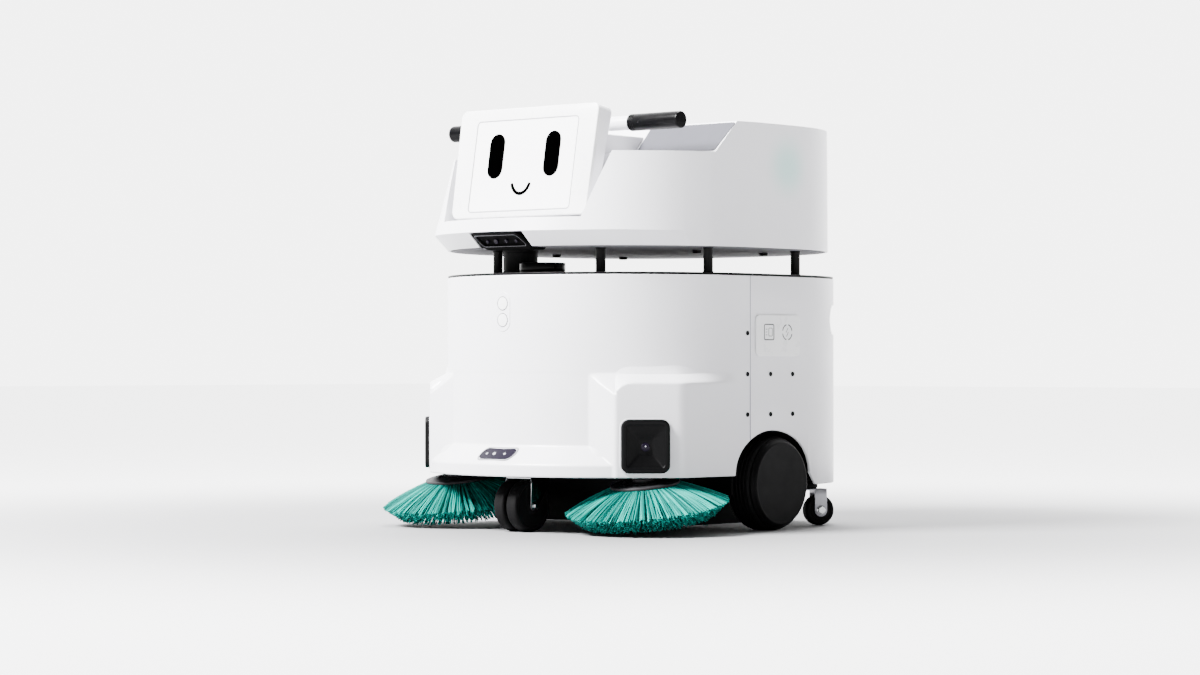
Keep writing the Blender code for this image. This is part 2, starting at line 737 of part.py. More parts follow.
def make_side_cameras():
    rings = ((0.042, 0.046, 0.014, 0.0), (0.042, 0.046, 0.014, 0.0075), (0.040, 0.044, 0.012, 0.009),
             (0.033, 0.036, 0.006, 0.009), (0.011, 0.012, 0.003, 0.0035))
    for name, side in SIDES:
        sections = []
        for half_x, half_z, corner, proud in rings:
            sections.append([(x, -proud, z) for x, z in rounded(half_x, half_z, corner)])
        camera = sweep("side_camera_" + name, sections)
        along = 0.004
        azimuth = POD_AZIMUTH
        reach = POD_FACE + GAP
        x = reach * math.sin(azimuth) + along * math.cos(azimuth)
        y = FRONT_CENTRE_Y - reach * math.cos(azimuth) + along * math.sin(azimuth)
        camera.location = (side * x, y, 0.153)
        camera.rotation_euler = (0.0, 0.0, side * azimuth)
        finish(camera, BLACK, 0.15)


def make_sonar():
    plate = sweep("sonar_pair", [[(x, y, z) for x, z in rounded(0.017, 0.0345, 0.0165, 6)]
                                 for y in (-0.0002, -0.0020)])
    for i, z in enumerate((-0.0145, 0.0145)):
        eye = turned("sonar_eye_tool_%d" % i, ((0.012, 0.0010), (0.012, 0.0032)), 16)
        eye.rotation_euler = (math.radians(90), 0.0, 0.0)
        eye.location = (0.0, FRONT_CENTRE_Y - HALF_WIDTH, 0.3855 + z)
        cut(plate, eye, "UNION")
    plate.location = (0.0, FRONT_CENTRE_Y - HALF_WIDTH, 0.3855)
    finish(plate, WHITE, 0.4)


def make_lidar():
    base = cylinder("lidar_base", (0.0, LIDAR_Y), 0.0405, DECK_TOP + GAP, 0.4585, 20)
    finish(base, BLACK, 0.4)
    pose = axis_empty("lidar_axis", (0.0, LIDAR_Y, 0.0))
    rotor = turned("lidar_rotor", ((0.039, 0.4588), (0.041, 0.4605), (0.041, 0.4715), (0.0385, 0.4733)))
    finish(hang(rotor, pose), BLACK, 0.12)


# ------------------------------------------------------------------ running gear
def make_drive_wheels():
    for name, side in SIDES:
        spin = axis_empty("drive_axis_" + name, (0.0, DRIVE_Y, DRIVE_RADIUS),
                          (0.0, side * math.radians(90), 0.0))
        shoulder = 0.006
        tyre = turned_ring("drive_tyre_" + name, (
            (HUB_RADIUS + GAP, TYRE_IN), (DRIVE_RADIUS - shoulder, TYRE_IN),
            (DRIVE_RADIUS - 0.0015, TYRE_IN + 0.003), (DRIVE_RADIUS, TYRE_IN + shoulder),
            (DRIVE_RADIUS, TYRE_OUT - shoulder), (DRIVE_RADIUS - 0.0015, TYRE_OUT - 0.003),
            (DRIVE_RADIUS - shoulder, TYRE_OUT), (HUB_RADIUS + GAP, TYRE_OUT)), 32)
        finish(hang(tyre, spin), DARK, 0.85)
        hub = turned("drive_hub_" + name, (
            (0.040, TYRE_IN + 0.001), (HUB_RADIUS, TYRE_IN + 0.004), (HUB_RADIUS, TYRE_OUT + GAP),
            (CAP_RADIUS, TYRE_OUT + GAP), (CAP_RADIUS, TYRE_OUT + 0.0025),
            (CAP_FACE_RADIUS, CAP_OUT)), 32)
        bore_radius = AXLE_RADIUS + 2 * GAP
        bore = turned("hub_bore_tool_" + name, ((bore_radius, 0.20), (bore_radius, AXLE_END + 0.001)), 16)
        hang(bore, spin)
        cut(hub, bore)
        finish(hang(hub, spin), DARK, 0.5)
        inner, outer = side * 0.2265, side * 0.2485
        bracket = block("drive_mount_" + name, (min(inner, outer), DRIVE_Y - 0.036, 0.052),
                        (max(inner, outer), DRIVE_Y + 0.036, BASE_BOTTOM - GAP))
        axle = turned("axle_tool_" + name, ((AXLE_RADIUS, 0.240), (AXLE_RADIUS, AXLE_END)), 20)
        axle.rotation_euler = (0.0, side * math.radians(90), 0.0)
        axle.location = (0.0, DRIVE_Y, DRIVE_RADIUS)
        cut(bracket, axle, "UNION")
        finish(bracket, DARK, 0.5, 0.4)


def fork(name, half_inner, thick, top, plate, bottom_line):
    """Bent-sheet yoke: two legs under a top plate, its foot following bottom_line(y)."""
    sections = []
    for y, foot in bottom_line:
        outer = half_inner + thick
        roof = top - plate
        foot = min(foot, roof - 0.0015)
        sections.append([(-outer, y, foot), (-outer, y, top), (outer, y, top), (outer, y, foot),
                         (half_inner, y, foot), (half_inner, y, roof), (-half_inner, y, roof),
                         (-half_inner, y, foot)])
    return sweep(name, sections)


def leg_line(axle_y, axle_z, radius, rear_y, rear_z):
    """Lower edge of a fork leg: a round end about the axle, then a rise to the rear."""
    line = []
    for i in range(7):
        angle = math.radians(180 + 150 * i / 6)
        line.append((axle_y + radius * math.cos(angle), axle_z + radius * math.sin(angle)))
    line.append((rear_y, rear_z))
    return line


def make_front_caster():
    swivel = axis_empty("front_caster_axis", (0.0, CASTER_Y + CASTER_TRAIL, 0.0))
    line = leg_line(-CASTER_TRAIL, CASTER_RADIUS, 0.010, 0.022, 0.078)
    yoke = fork("front_caster_fork", 0.0282, 0.0028, 0.0965, 0.0035, line)
    stem = turned("caster_stem_tool", ((0.020, 0.094), (0.020, BASE_BOTTOM - GAP)), 16)
    cut(hang(yoke, swivel), hang(stem, swivel), "UNION")
    finish(yoke, STEEL, 0.15, 1.0)
    roll = axis_empty("front_caster_roll_axis", (0.0, CASTER_Y, CASTER_RADIUS), ALONG_X)
    side_radius = CASTER_RADIUS - 0.002
    half = ((0.006, -0.0279), (0.006, -0.0265), (side_radius, -0.0265), (CASTER_RADIUS, -0.0245),
            (CASTER_RADIUS, -0.0050), (side_radius, -0.0030), (0.010, -0.0030))
    profile = list(half) + [(r, -h) for r, h in reversed(half)]
    wheels = turned("front_caster_wheels", profile, 16)
    finish(hang(wheels, roll), DARK, 0.7)


def make_rear_casters():
    for name, side in SIDES:
        x, y = REAR_CASTER
        turn = side * REAR_CASTER_TURN
        swivel = axis_empty("rear_caster_axis_" + name, (side * x, y, 0.0),
                            (0.0, 0.0, turn + side * math.radians(90)))
        axle_y = -REAR_CASTER_TRAIL
        line = leg_line(axle_y, REAR_CASTER_RADIUS, 0.0115, axle_y + 0.0125, 0.0625)
        line.append((0.0160, 0.0625))
        yoke = fork("rear_caster_fork_" + name, 0.0122, 0.0022, 0.0670, 0.0030, line)
        stem = turned("rear_stem_tool_" + name, ((0.014, 0.0655), (0.019, 0.0700), (0.019, 0.0770),
                                                 (0.016, 0.0790), (0.018, 0.0810),
                                                 (0.018, BASE_BOTTOM - GAP)), 16)
        cut(hang(yoke, swivel), hang(stem, swivel), "UNION")
        finish(yoke, STEEL, 0.35, 1.0)
        wheel = turned("rear_caster_wheel_" + name, (
            (0.005, -0.0119), (0.005, -0.0105), (0.0265, -0.0105), (REAR_CASTER_RADIUS, -0.0085),
            (REAR_CASTER_RADIUS, 0.0085), (0.0265, 0.0105), (0.005, 0.0105), (0.005, 0.0119)), 20)
        hang(wheel, swivel, (0.0, axle_y, REAR_CASTER_RADIUS), ALONG_X)
        finish(wheel, DARK, 0.7)


def make_side_brushes():
    for name, side in SIDES:
        place = (side * BRUSH_X, BRUSH_Y, BRUSH_Z)
        spin = axis_empty("side_brush_axis_" + name, place, (BRUSH_TILT, 0.0, 0.0))
        drop = -BRUSH_DROP
        brush = turned("side_brush_" + name, (
            (0.030, -0.018), (0.098, drop + 0.006), (BRUSH_RADIUS - 0.020, drop),
            (BRUSH_RADIUS - 0.004, drop), (BRUSH_RADIUS, drop + 0.008), (BRUSH_FLANGE + 0.004, -0.006),
            (BRUSH_FLANGE, -0.003), (BRUSH_FLANGE, 0.0), (0.020, 0.003), (0.020, 0.0085)), 28)
        finish(hang(brush, spin), TEAL, 0.6)
        motor = turned("side_brush_motor_" + name, ((0.022, 0.0090), (0.022, 0.020), (0.027, 0.021),
                                                    (0.027, 0.086)), 16)
        finish(hang(motor, spin), DARK, 0.4, 0.5)


def make_roller():
    housing = block("roller_housing", (-0.206, ROLLER_Y - 0.071, 0.009),
                    (0.206, ROLLER_Y + 0.083, 0.152))
    room = block("roller_room_tool", (-0.202, ROLLER_Y - 0.067, 0.0), (0.202, ROLLER_Y + 0.079, 0.148))
    mouth = block("mouth_tool", (-0.140, ROLLER_Y + 0.070, 0.122), (0.140, ROLLER_Y + 0.100, 0.142))
    shaft_hole = turned("shaft_hole_tool", ((0.0095, -0.25), (0.0095, 0.0)), 16)
    shaft_hole.rotation_euler = ALONG_X
    shaft_hole.location = (0.0, ROLLER_Y, ROLLER_Z)
    for tool in (room, mouth, shaft_hole):
        cut(housing, tool)
    finish(housing, BLACK, 0.6)
    spin = axis_empty("roller_axis", (0.0, ROLLER_Y, ROLLER_Z), ALONG_X)
    flange = PULLEY_LARGE
    roller = turned("roller_brush", (
        (0.008, BELT_X - 0.006), (flange, BELT_X - 0.006), (flange, BELT_X + 0.006),
        (0.008, BELT_X + 0.006), (0.008, -0.195), (0.030, -0.194), (0.030, -ROLLER_HALF),
        (ROLLER_RADIUS, -ROLLER_HALF), (ROLLER_RADIUS, ROLLER_HALF), (0.030, ROLLER_HALF),
        (0.030, 0.194), (0.008, 0.195), (0.008, 0.2010)), 20)
    finish(hang(roller, spin), TEAL, 0.7)
    motor = turned("roller_motor", ((0.010, -0.2035), (0.010, -0.200), (0.028, -0.200), (0.028, -0.080),
                                    (0.024, -0.076), (0.024, -0.050)), 16)
    motor.rotation_euler = ALONG_X
    motor.location = (0.0, MOTOR_Y, MOTOR_Z)
    finish(motor, STEEL, 0.4, 0.9)
    pulley_axis = axis_empty("motor_pulley_axis", (0.0, MOTOR_Y, MOTOR_Z), ALONG_X)
    pulley = turned("motor_pulley", ((0.006, -0.2225), (PULLEY_SMALL, -0.222), (PULLEY_SMALL, -0.210),
                                     (0.006, -0.2095), (0.006, -0.2040)), 16)
    finish(hang(pulley, pulley_axis), STEEL, 0.3, 1.0)


def belt_loop(grow):
    """Open belt round both pulleys, as Y-Z points."""
    low = Vector((ROLLER_Y, ROLLER_Z))
    high = Vector((MOTOR_Y, MOTOR_Z))
    line = high - low
    facing = math.atan2(line.y, line.x)
    lean = math.acos((PULLEY_LARGE - PULLEY_SMALL) / line.length)
    outline = []
    for i in range(17):
        angle = facing + lean + (math.tau - 2 * lean) * i / 16
        outline.append(low + Vector((math.cos(angle), math.sin(angle))) * (PULLEY_LARGE + grow))
    for i in range(13):
        angle = facing - lean + 2 * lean * i / 12
        outline.append(high + Vector((math.cos(angle), math.sin(angle))) * (PULLEY_SMALL + grow))
    return outline


def make_belt():
    inner = belt_loop(0.0005)
    outer = belt_loop(0.0005 + BELT_THICK)
    sections = []
    for near, far in zip(inner, outer):
        low = BELT_X - BELT_HALF
        high = BELT_X + BELT_HALF
        sections.append([(low, *near), (high, *near), (high, *far), (low, *far)])
    finish(sweep("drive_belt", sections, closed=True), BLACK, 0.8)


# ------------------------------------------------------------------ inside the body
def make_dust_bin():
    outline = ((-BIN_HALF, BIN_FRONT), (BIN_HALF, BIN_FRONT), (BIN_HALF, BIN_BACK),
               (BOSS_HALF, BIN_BACK), (BOSS_HALF, BIN_BOSS), (-BOSS_HALF, BIN_BOSS),
               (-BOSS_HALF, BIN_BACK), (-BIN_HALF, BIN_BACK))
    box = prism_z("dust_bin", outline, BIN_BOTTOM, BIN_TOP)
    low = (-BIN_HALF + 0.003, BIN_FRONT + 0.003, BIN_BOTTOM + 0.003)
    high = (BIN_HALF - 0.003, BIN_BACK - 0.003, BIN_TOP + 0.02)
    room = block("bin_room_tool", low, high)
    mouth = block("bin_mouth_tool", (-0.140, BIN_FRONT - 0.01, 0.122), (0.140, BIN_FRONT + 0.01, 0.142))
    fingers = block("bin_finger_tool", (-0.066, BIN_BACK + 0.008, GRAB_LOW - 0.004),
                    (0.066, BIN_BOSS + 0.01, BIN_TOP + 0.01))
    for tool in (room, mouth, fingers):
        cut(box, tool)
    finish(box, SOFT_GREY, 0.5)
    panel = block("dust_filter", (-0.150, 0.100, BIN_TOP + GAP), (0.150, 0.314, BIN_TOP + 0.024))
    finish(panel, (0.7, 0.7, 0.66), 0.9)


def make_fan():
    housing = turned_ring("fan_housing", ((0.078, FAN_BOTTOM), (0.084, FAN_BOTTOM), (0.084, FAN_TOP),
                                          (0.026, FAN_TOP), (0.026, FAN_TOP - 0.004),
                                          (0.078, FAN_TOP - 0.004)), 16)
    housing.location = (0.0, FAN_Y, 0.0)
    finish(housing, DARK, 0.5)
    spin = axis_empty("fan_axis", (0.0, FAN_Y, 0.0))
    blades = 9
    outline = []
    for i in range(blades * 4):
        radius = 0.070 if i % 4 in (0, 1) else 0.024
        angle = math.tau * (i + (0.55 if i % 4 == 1 else 0.0)) / (blades * 4)
        outline.append((radius * math.cos(angle), radius * math.sin(angle)))
    wheel = prism_z("fan_impeller", outline, FAN_BOTTOM + 0.010, FAN_TOP - 0.020)
    finish(hang(wheel, spin), SOFT_GREY, 0.4)


def make_boxes():
    battery = block("battery_pack", (-0.150, -0.268, BASE_TOP + GAP), (0.150, -0.100, 0.292))
    finish(battery, DARK, 0.6)
    control = block("control_box", (-0.140, -0.255, 0.2925), (0.140, -0.110, 0.418))
    finish(control, STEEL, 0.4, 0.8)


def make_service_flap():
    hinge = axis_empty("flap_axis", (FLAP_IN, FLAP_Y[1], 0.0))
    middle_y = (FLAP_Y[0] + FLAP_Y[1]) / 2 - FLAP_Y[1]
    middle_z = (FLAP_Z[0] + FLAP_Z[1]) / 2
    half_y = (FLAP_Y[1] - FLAP_Y[0]) / 2
    half_z = (FLAP_Z[1] - FLAP_Z[0]) / 2
    sections = []
    for out, inset in ((0.0, 0.0), (0.0022, 0.0), (FLAP_OUT - FLAP_IN, 0.0012)):
        ring = rounded(half_y - inset, half_z - inset, 0.010 - inset)
        sections.append([(out, middle_y + y, middle_z + z) for y, z in ring])
    flap = sweep("service_flap", sections)
    finish(hang(flap, hinge), WHITE, 0.3)
    tray = block("port_tray", (TRAY_FLOOR - 0.003, FLAP_Y[0] + 0.006, FLAP_Z[0] + 0.004),
                 (HALF_WIDTH - WALL - 0.0012, FLAP_Y[1] - 0.006, FLAP_Z[1] - 0.004))
    room = block("tray_tool", (TRAY_FLOOR, FLAP_Y[0] + 0.012, FLAP_Z[0] + 0.010),
                 (0.330, FLAP_Y[1] - 0.012, FLAP_Z[1] - 0.010))
    cut(tray, room)
    finish(tray, BLACK, 0.6)
    back = TRAY_FLOOR + BUTTON_TRAVEL + 0.0005
    button = turned("power_button", ((0.011, back), (0.011, back + 0.009), (0.0098, back + 0.0105)), 16)
    button.rotation_euler = ALONG_X
    button.location = (0.0, 0.062, middle_z)
    finish(button, (0.05, 0.30, 0.26), 0.4)


def build():
    clear_scene()
    make_front_shell()
    make_rear_shell()
    make_bin_door()
    make_base_plate()
    make_deck()
    make_wheel_wells()
    make_upper_body()
    make_console()
    make_head()
    make_handle()
    make_chin_camera()
    make_lower_camera()
    make_side_cameras()
    make_sonar()
    make_lidar()
    make_drive_wheels()
    make_front_caster()
    make_rear_casters()
    make_side_brushes()
    make_roller()
    make_belt()
    make_dust_bin()
    make_fan()
    make_boxes()
    make_service_flap()


build()
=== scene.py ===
"""Looks of the robotic floor sweeper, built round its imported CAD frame. Metres, +Z up."""
import json
import math
import random

import bmesh
import bpy
import numpy as np
from mathutils import Matrix, Vector


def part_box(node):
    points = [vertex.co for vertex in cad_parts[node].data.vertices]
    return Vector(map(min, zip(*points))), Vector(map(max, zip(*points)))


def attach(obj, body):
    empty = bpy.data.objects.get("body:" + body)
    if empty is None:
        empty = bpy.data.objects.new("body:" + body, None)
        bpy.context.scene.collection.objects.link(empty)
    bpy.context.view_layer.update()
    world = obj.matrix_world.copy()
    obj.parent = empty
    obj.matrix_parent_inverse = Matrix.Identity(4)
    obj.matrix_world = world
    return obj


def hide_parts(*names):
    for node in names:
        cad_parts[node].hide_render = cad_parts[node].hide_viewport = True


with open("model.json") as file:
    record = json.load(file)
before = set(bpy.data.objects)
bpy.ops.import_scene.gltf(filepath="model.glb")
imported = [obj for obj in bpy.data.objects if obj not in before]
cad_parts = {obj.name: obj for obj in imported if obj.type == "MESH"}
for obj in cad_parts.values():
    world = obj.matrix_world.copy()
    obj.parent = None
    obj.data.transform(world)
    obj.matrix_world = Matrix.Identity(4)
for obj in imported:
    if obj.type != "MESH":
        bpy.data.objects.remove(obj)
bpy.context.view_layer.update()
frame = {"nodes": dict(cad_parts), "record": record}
JOINTS = {entry["name"]: entry for entry in frame["record"]["behaviour"]["joints"]}
SIDES = (("left", -1), ("right", 1))

# ------------------------------------------------------------------ measures from the frame
HALF_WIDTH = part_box("rear_shell")[1][0]
REAR_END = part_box("rear_shell")[1][1]
REAR_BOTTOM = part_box("rear_shell")[0][2]
SEAM_Y = (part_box("front_shell")[1][1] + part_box("rear_shell")[0][1]) / 2
FRONT_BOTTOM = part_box("front_shell")[0][2]
SHELL_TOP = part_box("front_shell")[1][2]
DECK_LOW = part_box("deck_plate")[0][2]
DECK_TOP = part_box("deck_plate")[1][2]
UPPER_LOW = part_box("upper_base")[0][2]
UPPER_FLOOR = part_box("upper_shell")[0][2]
HIGH_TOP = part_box("upper_shell")[1][2]
FLOOR_INSET = 0.0055
UPPER_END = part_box("upper_base")[1][1] + FLOOR_INSET
UPPER_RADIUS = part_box("upper_base")[1][0] + FLOOR_INSET
CONSOLE_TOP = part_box("console_cover")[1][2]
CONSOLE_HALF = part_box("console_cover")[1][0]

# ------------------------------------------------------------------ form of the lower body
FRONT_CENTRE_Y = -0.02
REAR_CENTRE_Y = 0.07
REAR_EXPONENT = 2.54
UPPER_REAR_EXPONENT = 2.35
WALL = 0.004
EDGE = 0.0016
SEAM_HALF = 0.0004
SKIRT_RADIUS = 0.347
SKIRT_TOP = 0.12
SKIRT_FADE = 0.153
POD_SIDE = 0.272
POD_FACE = 0.347
POD_FLANK = 0.3151
POD_AZIMUTH = math.radians(47.0)
FLANK_AZIMUTH = math.radians(86.0)
POD_TOP = 0.262
POD_FADE = 0.279
POD_DROP = 0.021
POD_DROP_RUN = 0.034
POD_EDGE = math.radians(39.1)
POD_ROOT = math.radians(30.9)
POD_ROOT_RISE = 0.011
ARCH_Y = 0.022
ARCH_FRONT = 0.098
ARCH_REAR = 0.112
ARCH_FOOT = 0.1
ARCH_HEIGHT = 0.077
ARCH_TAIL = (0.163, 0.07)
GRIP_CUP_TURN = math.radians(41.0)
GRIP_CUP_Z = 0.375
GRIP_CUP_HALF = (0.07, 0.027)
GRIP_CUP_DEPTH = 0.036
GRAB_SLOT_HALF = (0.06, 0.0125)
GRAB_SLOT_CORNER = 0.0118
GRAB_SLOT_DROP = 0.0325
SCREW_Y = (-0.047, 0.0165, 0.0797)
SCREW_Z = (0.2765, 0.2058)
TOP_SCREW_Z = 0.3483

# ------------------------------------------------------------------ form of the upper body
CREASE_Z = 0.525
CREASE_REACH = 0.028
LOW_TOP = 0.663
LOW_TOP_RADIUS = 0.305
SLANT_FOOT_Y = -0.116
SLANT_HEAD_Y = -0.066
UPPER_SIDE_RADIUS = 0.3145
RECESS_BACK_Y = -0.215
RECESS_FLOOR = 0.548
RECESS_HALF_FLOOR = 0.163
RECESS_HALF_TOP = 0.187
CHIN_HALF = 0.0625
CHIN_TOP = 0.5245
BUMPER_SPOTS = ((0.1687, -0.0088), (0.1699, 0.1817))

# ------------------------------------------------------------------ head
HEAD_CENTRE = Vector((0.0, -0.2839, 0.6504))
HEAD_TILT = math.radians(9.7)
HEAD_HALF_HEIGHT = 0.0987
HEAD_HALF_TOP = 0.164
HEAD_HALF_BOTTOM = 0.16
HEAD_CORNER = 0.014
HEAD_DEPTH_TOP = 0.038
HEAD_DEPTH_BOTTOM = 0.026
BEZEL_DEPTH = 0.006
SCREEN_HALF = (0.12, 0.082)
SCREEN_DROP = 0.0056


# ------------------------------------------------------------------ materials
def new_material(name):
    """A Principled material, its node tree and its shader."""
    material = bpy.data.materials.new(name)
    material.use_nodes = True
    tree = material.node_tree
    return material, tree, tree.nodes["Principled BSDF"]


def put(tree, socket, value):
    """Link another socket to this one, or set its colour or number."""
    if isinstance(value, bpy.types.NodeSocket):
        tree.links.new(value, socket)
    elif isinstance(value, tuple):
        socket.default_value = (*value[:3], 1.0)
    else:
        socket.default_value = value


def feed(tree, node, values):
    for name, value in values.items():
        put(tree, node.inputs[name], value)


def noise(tree, scale, detail=3.0, stretch=None):
    """Noise in object coordinates; stretch scales the axes for brushed or drawn grain."""
    source = tree.nodes.new("ShaderNodeTexCoord").outputs["Object"]
    texture = tree.nodes.new("ShaderNodeTexNoise")
    if stretch:
        mapping = tree.nodes.new("ShaderNodeMapping")
        mapping.inputs["Scale"].default_value = stretch
        tree.links.new(source, mapping.inputs["Vector"])
        source = mapping.outputs["Vector"]
    feed(tree, texture, {"Scale": scale, "Detail": detail, "Vector": source})
    return texture.outputs["Fac"]


def remap(tree, value, low, high, start=0.3, end=0.7, kind="LINEAR"):
    """Map start..end of a value to low..high, clamped."""
    node = tree.nodes.new("ShaderNodeMapRange")
    node.interpolation_type = kind
    feed(tree, node, {"Value": value, "From Min": start, "From Max": end, "To Min": low, "To Max": high})
    return node.outputs["Result"]


def measure(tree, operation, coordinates="Object", other=None):
    """Number from the coordinates by one vector operation, with a fixed second vector."""
    node = tree.nodes.new("ShaderNodeVectorMath")
    node.operation = operation
    tree.links.new(tree.nodes.new("ShaderNodeTexCoord").outputs[coordinates], node.inputs[0])
    if other is not None:
        node.inputs[1].default_value = other
    return node.outputs["Value"]


def mix_colour(tree, factor, first, second):
    node = tree.nodes.new("ShaderNodeMix")
    node.data_type = "RGBA"
    for index, value in ((0, factor), (6, first), (7, second)):
        put(tree, node.inputs[index], value)
    return node.outputs[2]


def shade(colour, factor):
    return tuple(min(1.0, c * factor) for c in colour)


def surface(name, colour, roughness, metallic=0.0, grain=900.0, depth=0.00002, strength=0.25,
            vary=0.04, spread=0.05, coat=0.0, edge_highlight=0.0, stretch=None, specular=0.5):
    """Moulded, painted or metal surface: mottled colour, uneven gloss, fine grain, and where asked a
    painted highlight that lightens convex edges.
    """
    material, tree, shader = new_material(name)
    mottle = remap(tree, noise(tree, 14.0, 2.0), 0.0, 1.0)
    base = mix_colour(tree, mottle, shade(colour, 1 - vary), shade(colour, 1 + vary))
    # Painted highlight: convex edges, found by pointiness, are mixed towards a lighter copy of the
    # colour.
    if edge_highlight > 0.0:
        geometry = tree.nodes.new("ShaderNodeNewGeometry")
        edge_highlight_mask = remap(tree, geometry.outputs["Pointiness"], 0.0, edge_highlight, 0.53, 0.62)
        base = mix_colour(tree, edge_highlight_mask, base, shade(tuple(c + 0.03 for c in colour), 2.2))
    bump = tree.nodes.new("ShaderNodeBump")
    feed(tree, bump, {"Strength": strength, "Distance": depth,
                      "Height": noise(tree, grain, 2.0, stretch)})
    gloss = remap(tree, noise(tree, 45.0, 4.0), roughness - spread, roughness + spread)
    feed(tree, shader, {"Base Color": base, "Roughness": gloss, "Normal": bump.outputs["Normal"],
                        "Metallic": metallic, "Coat Weight": coat, "Coat Roughness": 0.12,
                        "Specular IOR Level": specular})
    return material


def bristle_material(name, dark, light):
    """Nylon strands: each with its own tone, with painted shade darkening the root, pale at the cut tip.
    """
    material, tree, shader = new_material(name)
    tone = tree.nodes.new("ShaderNodeAttribute")
    tone.attribute_name = "strand"
    split = tree.nodes.new("ShaderNodeSeparateColor")
    tree.links.new(tone.outputs["Color"], split.inputs["Color"])
    colour = mix_colour(tree, split.outputs["Red"], dark, light)
    # Painted shade: each strand's colour darkens towards its root, where the tuft shades itself.
    painted_root_shade = remap(tree, split.outputs["Green"], 0.55, 0.0, 0.0, 0.35)
    feed(tree, shader, {"Base Color": mix_colour(tree, painted_root_shade, colour, shade(dark, 0.35)),
                        "Roughness": remap(tree, noise(tree, 260.0), 0.3, 0.48),
                        "Specular IOR Level": 0.04})
    return material


def screen_material(name):
    """Lit white panel with a faint pixel grain."""
    material, tree, shader = new_material(name)
    grain = remap(tree, noise(tree, 1800.0, 1.0), 0.0, 1.0)
    colour = mix_colour(tree, grain, (0.76, 0.76, 0.77), (0.8, 0.8, 0.81))
    feed(tree, shader, {"Base Color": colour, "Emission Color": colour, "Emission Strength": 0.5,
                        "Roughness": 0.35})
    return material


def glow_shell_material(name, colour, centre, reach, painted_glow_colour):
    """The white shell with a soft coloured light patch painted into its colour round a point on its
    flank: a painted glow, not a lamp.
    """
    material = surface(name, colour, 0.34, depth=0.000012, vary=0.012, coat=0.08)
    tree = material.node_tree
    shader = tree.nodes["Principled BSDF"]
    under = shader.inputs["Base Color"].links[0].from_socket
    away = measure(tree, "DISTANCE", other=centre)
    # Painted light: the base colour is mixed towards the glow colour, strongest at the centre and gone at
    # the reach.
    painted_glow_falloff = remap(tree, away, 0.62, 0.0, 0.0, reach, "SMOOTHERSTEP")
    feed(tree, shader, {"Base Color": mix_colour(tree, painted_glow_falloff, under, painted_glow_colour)})
    return material


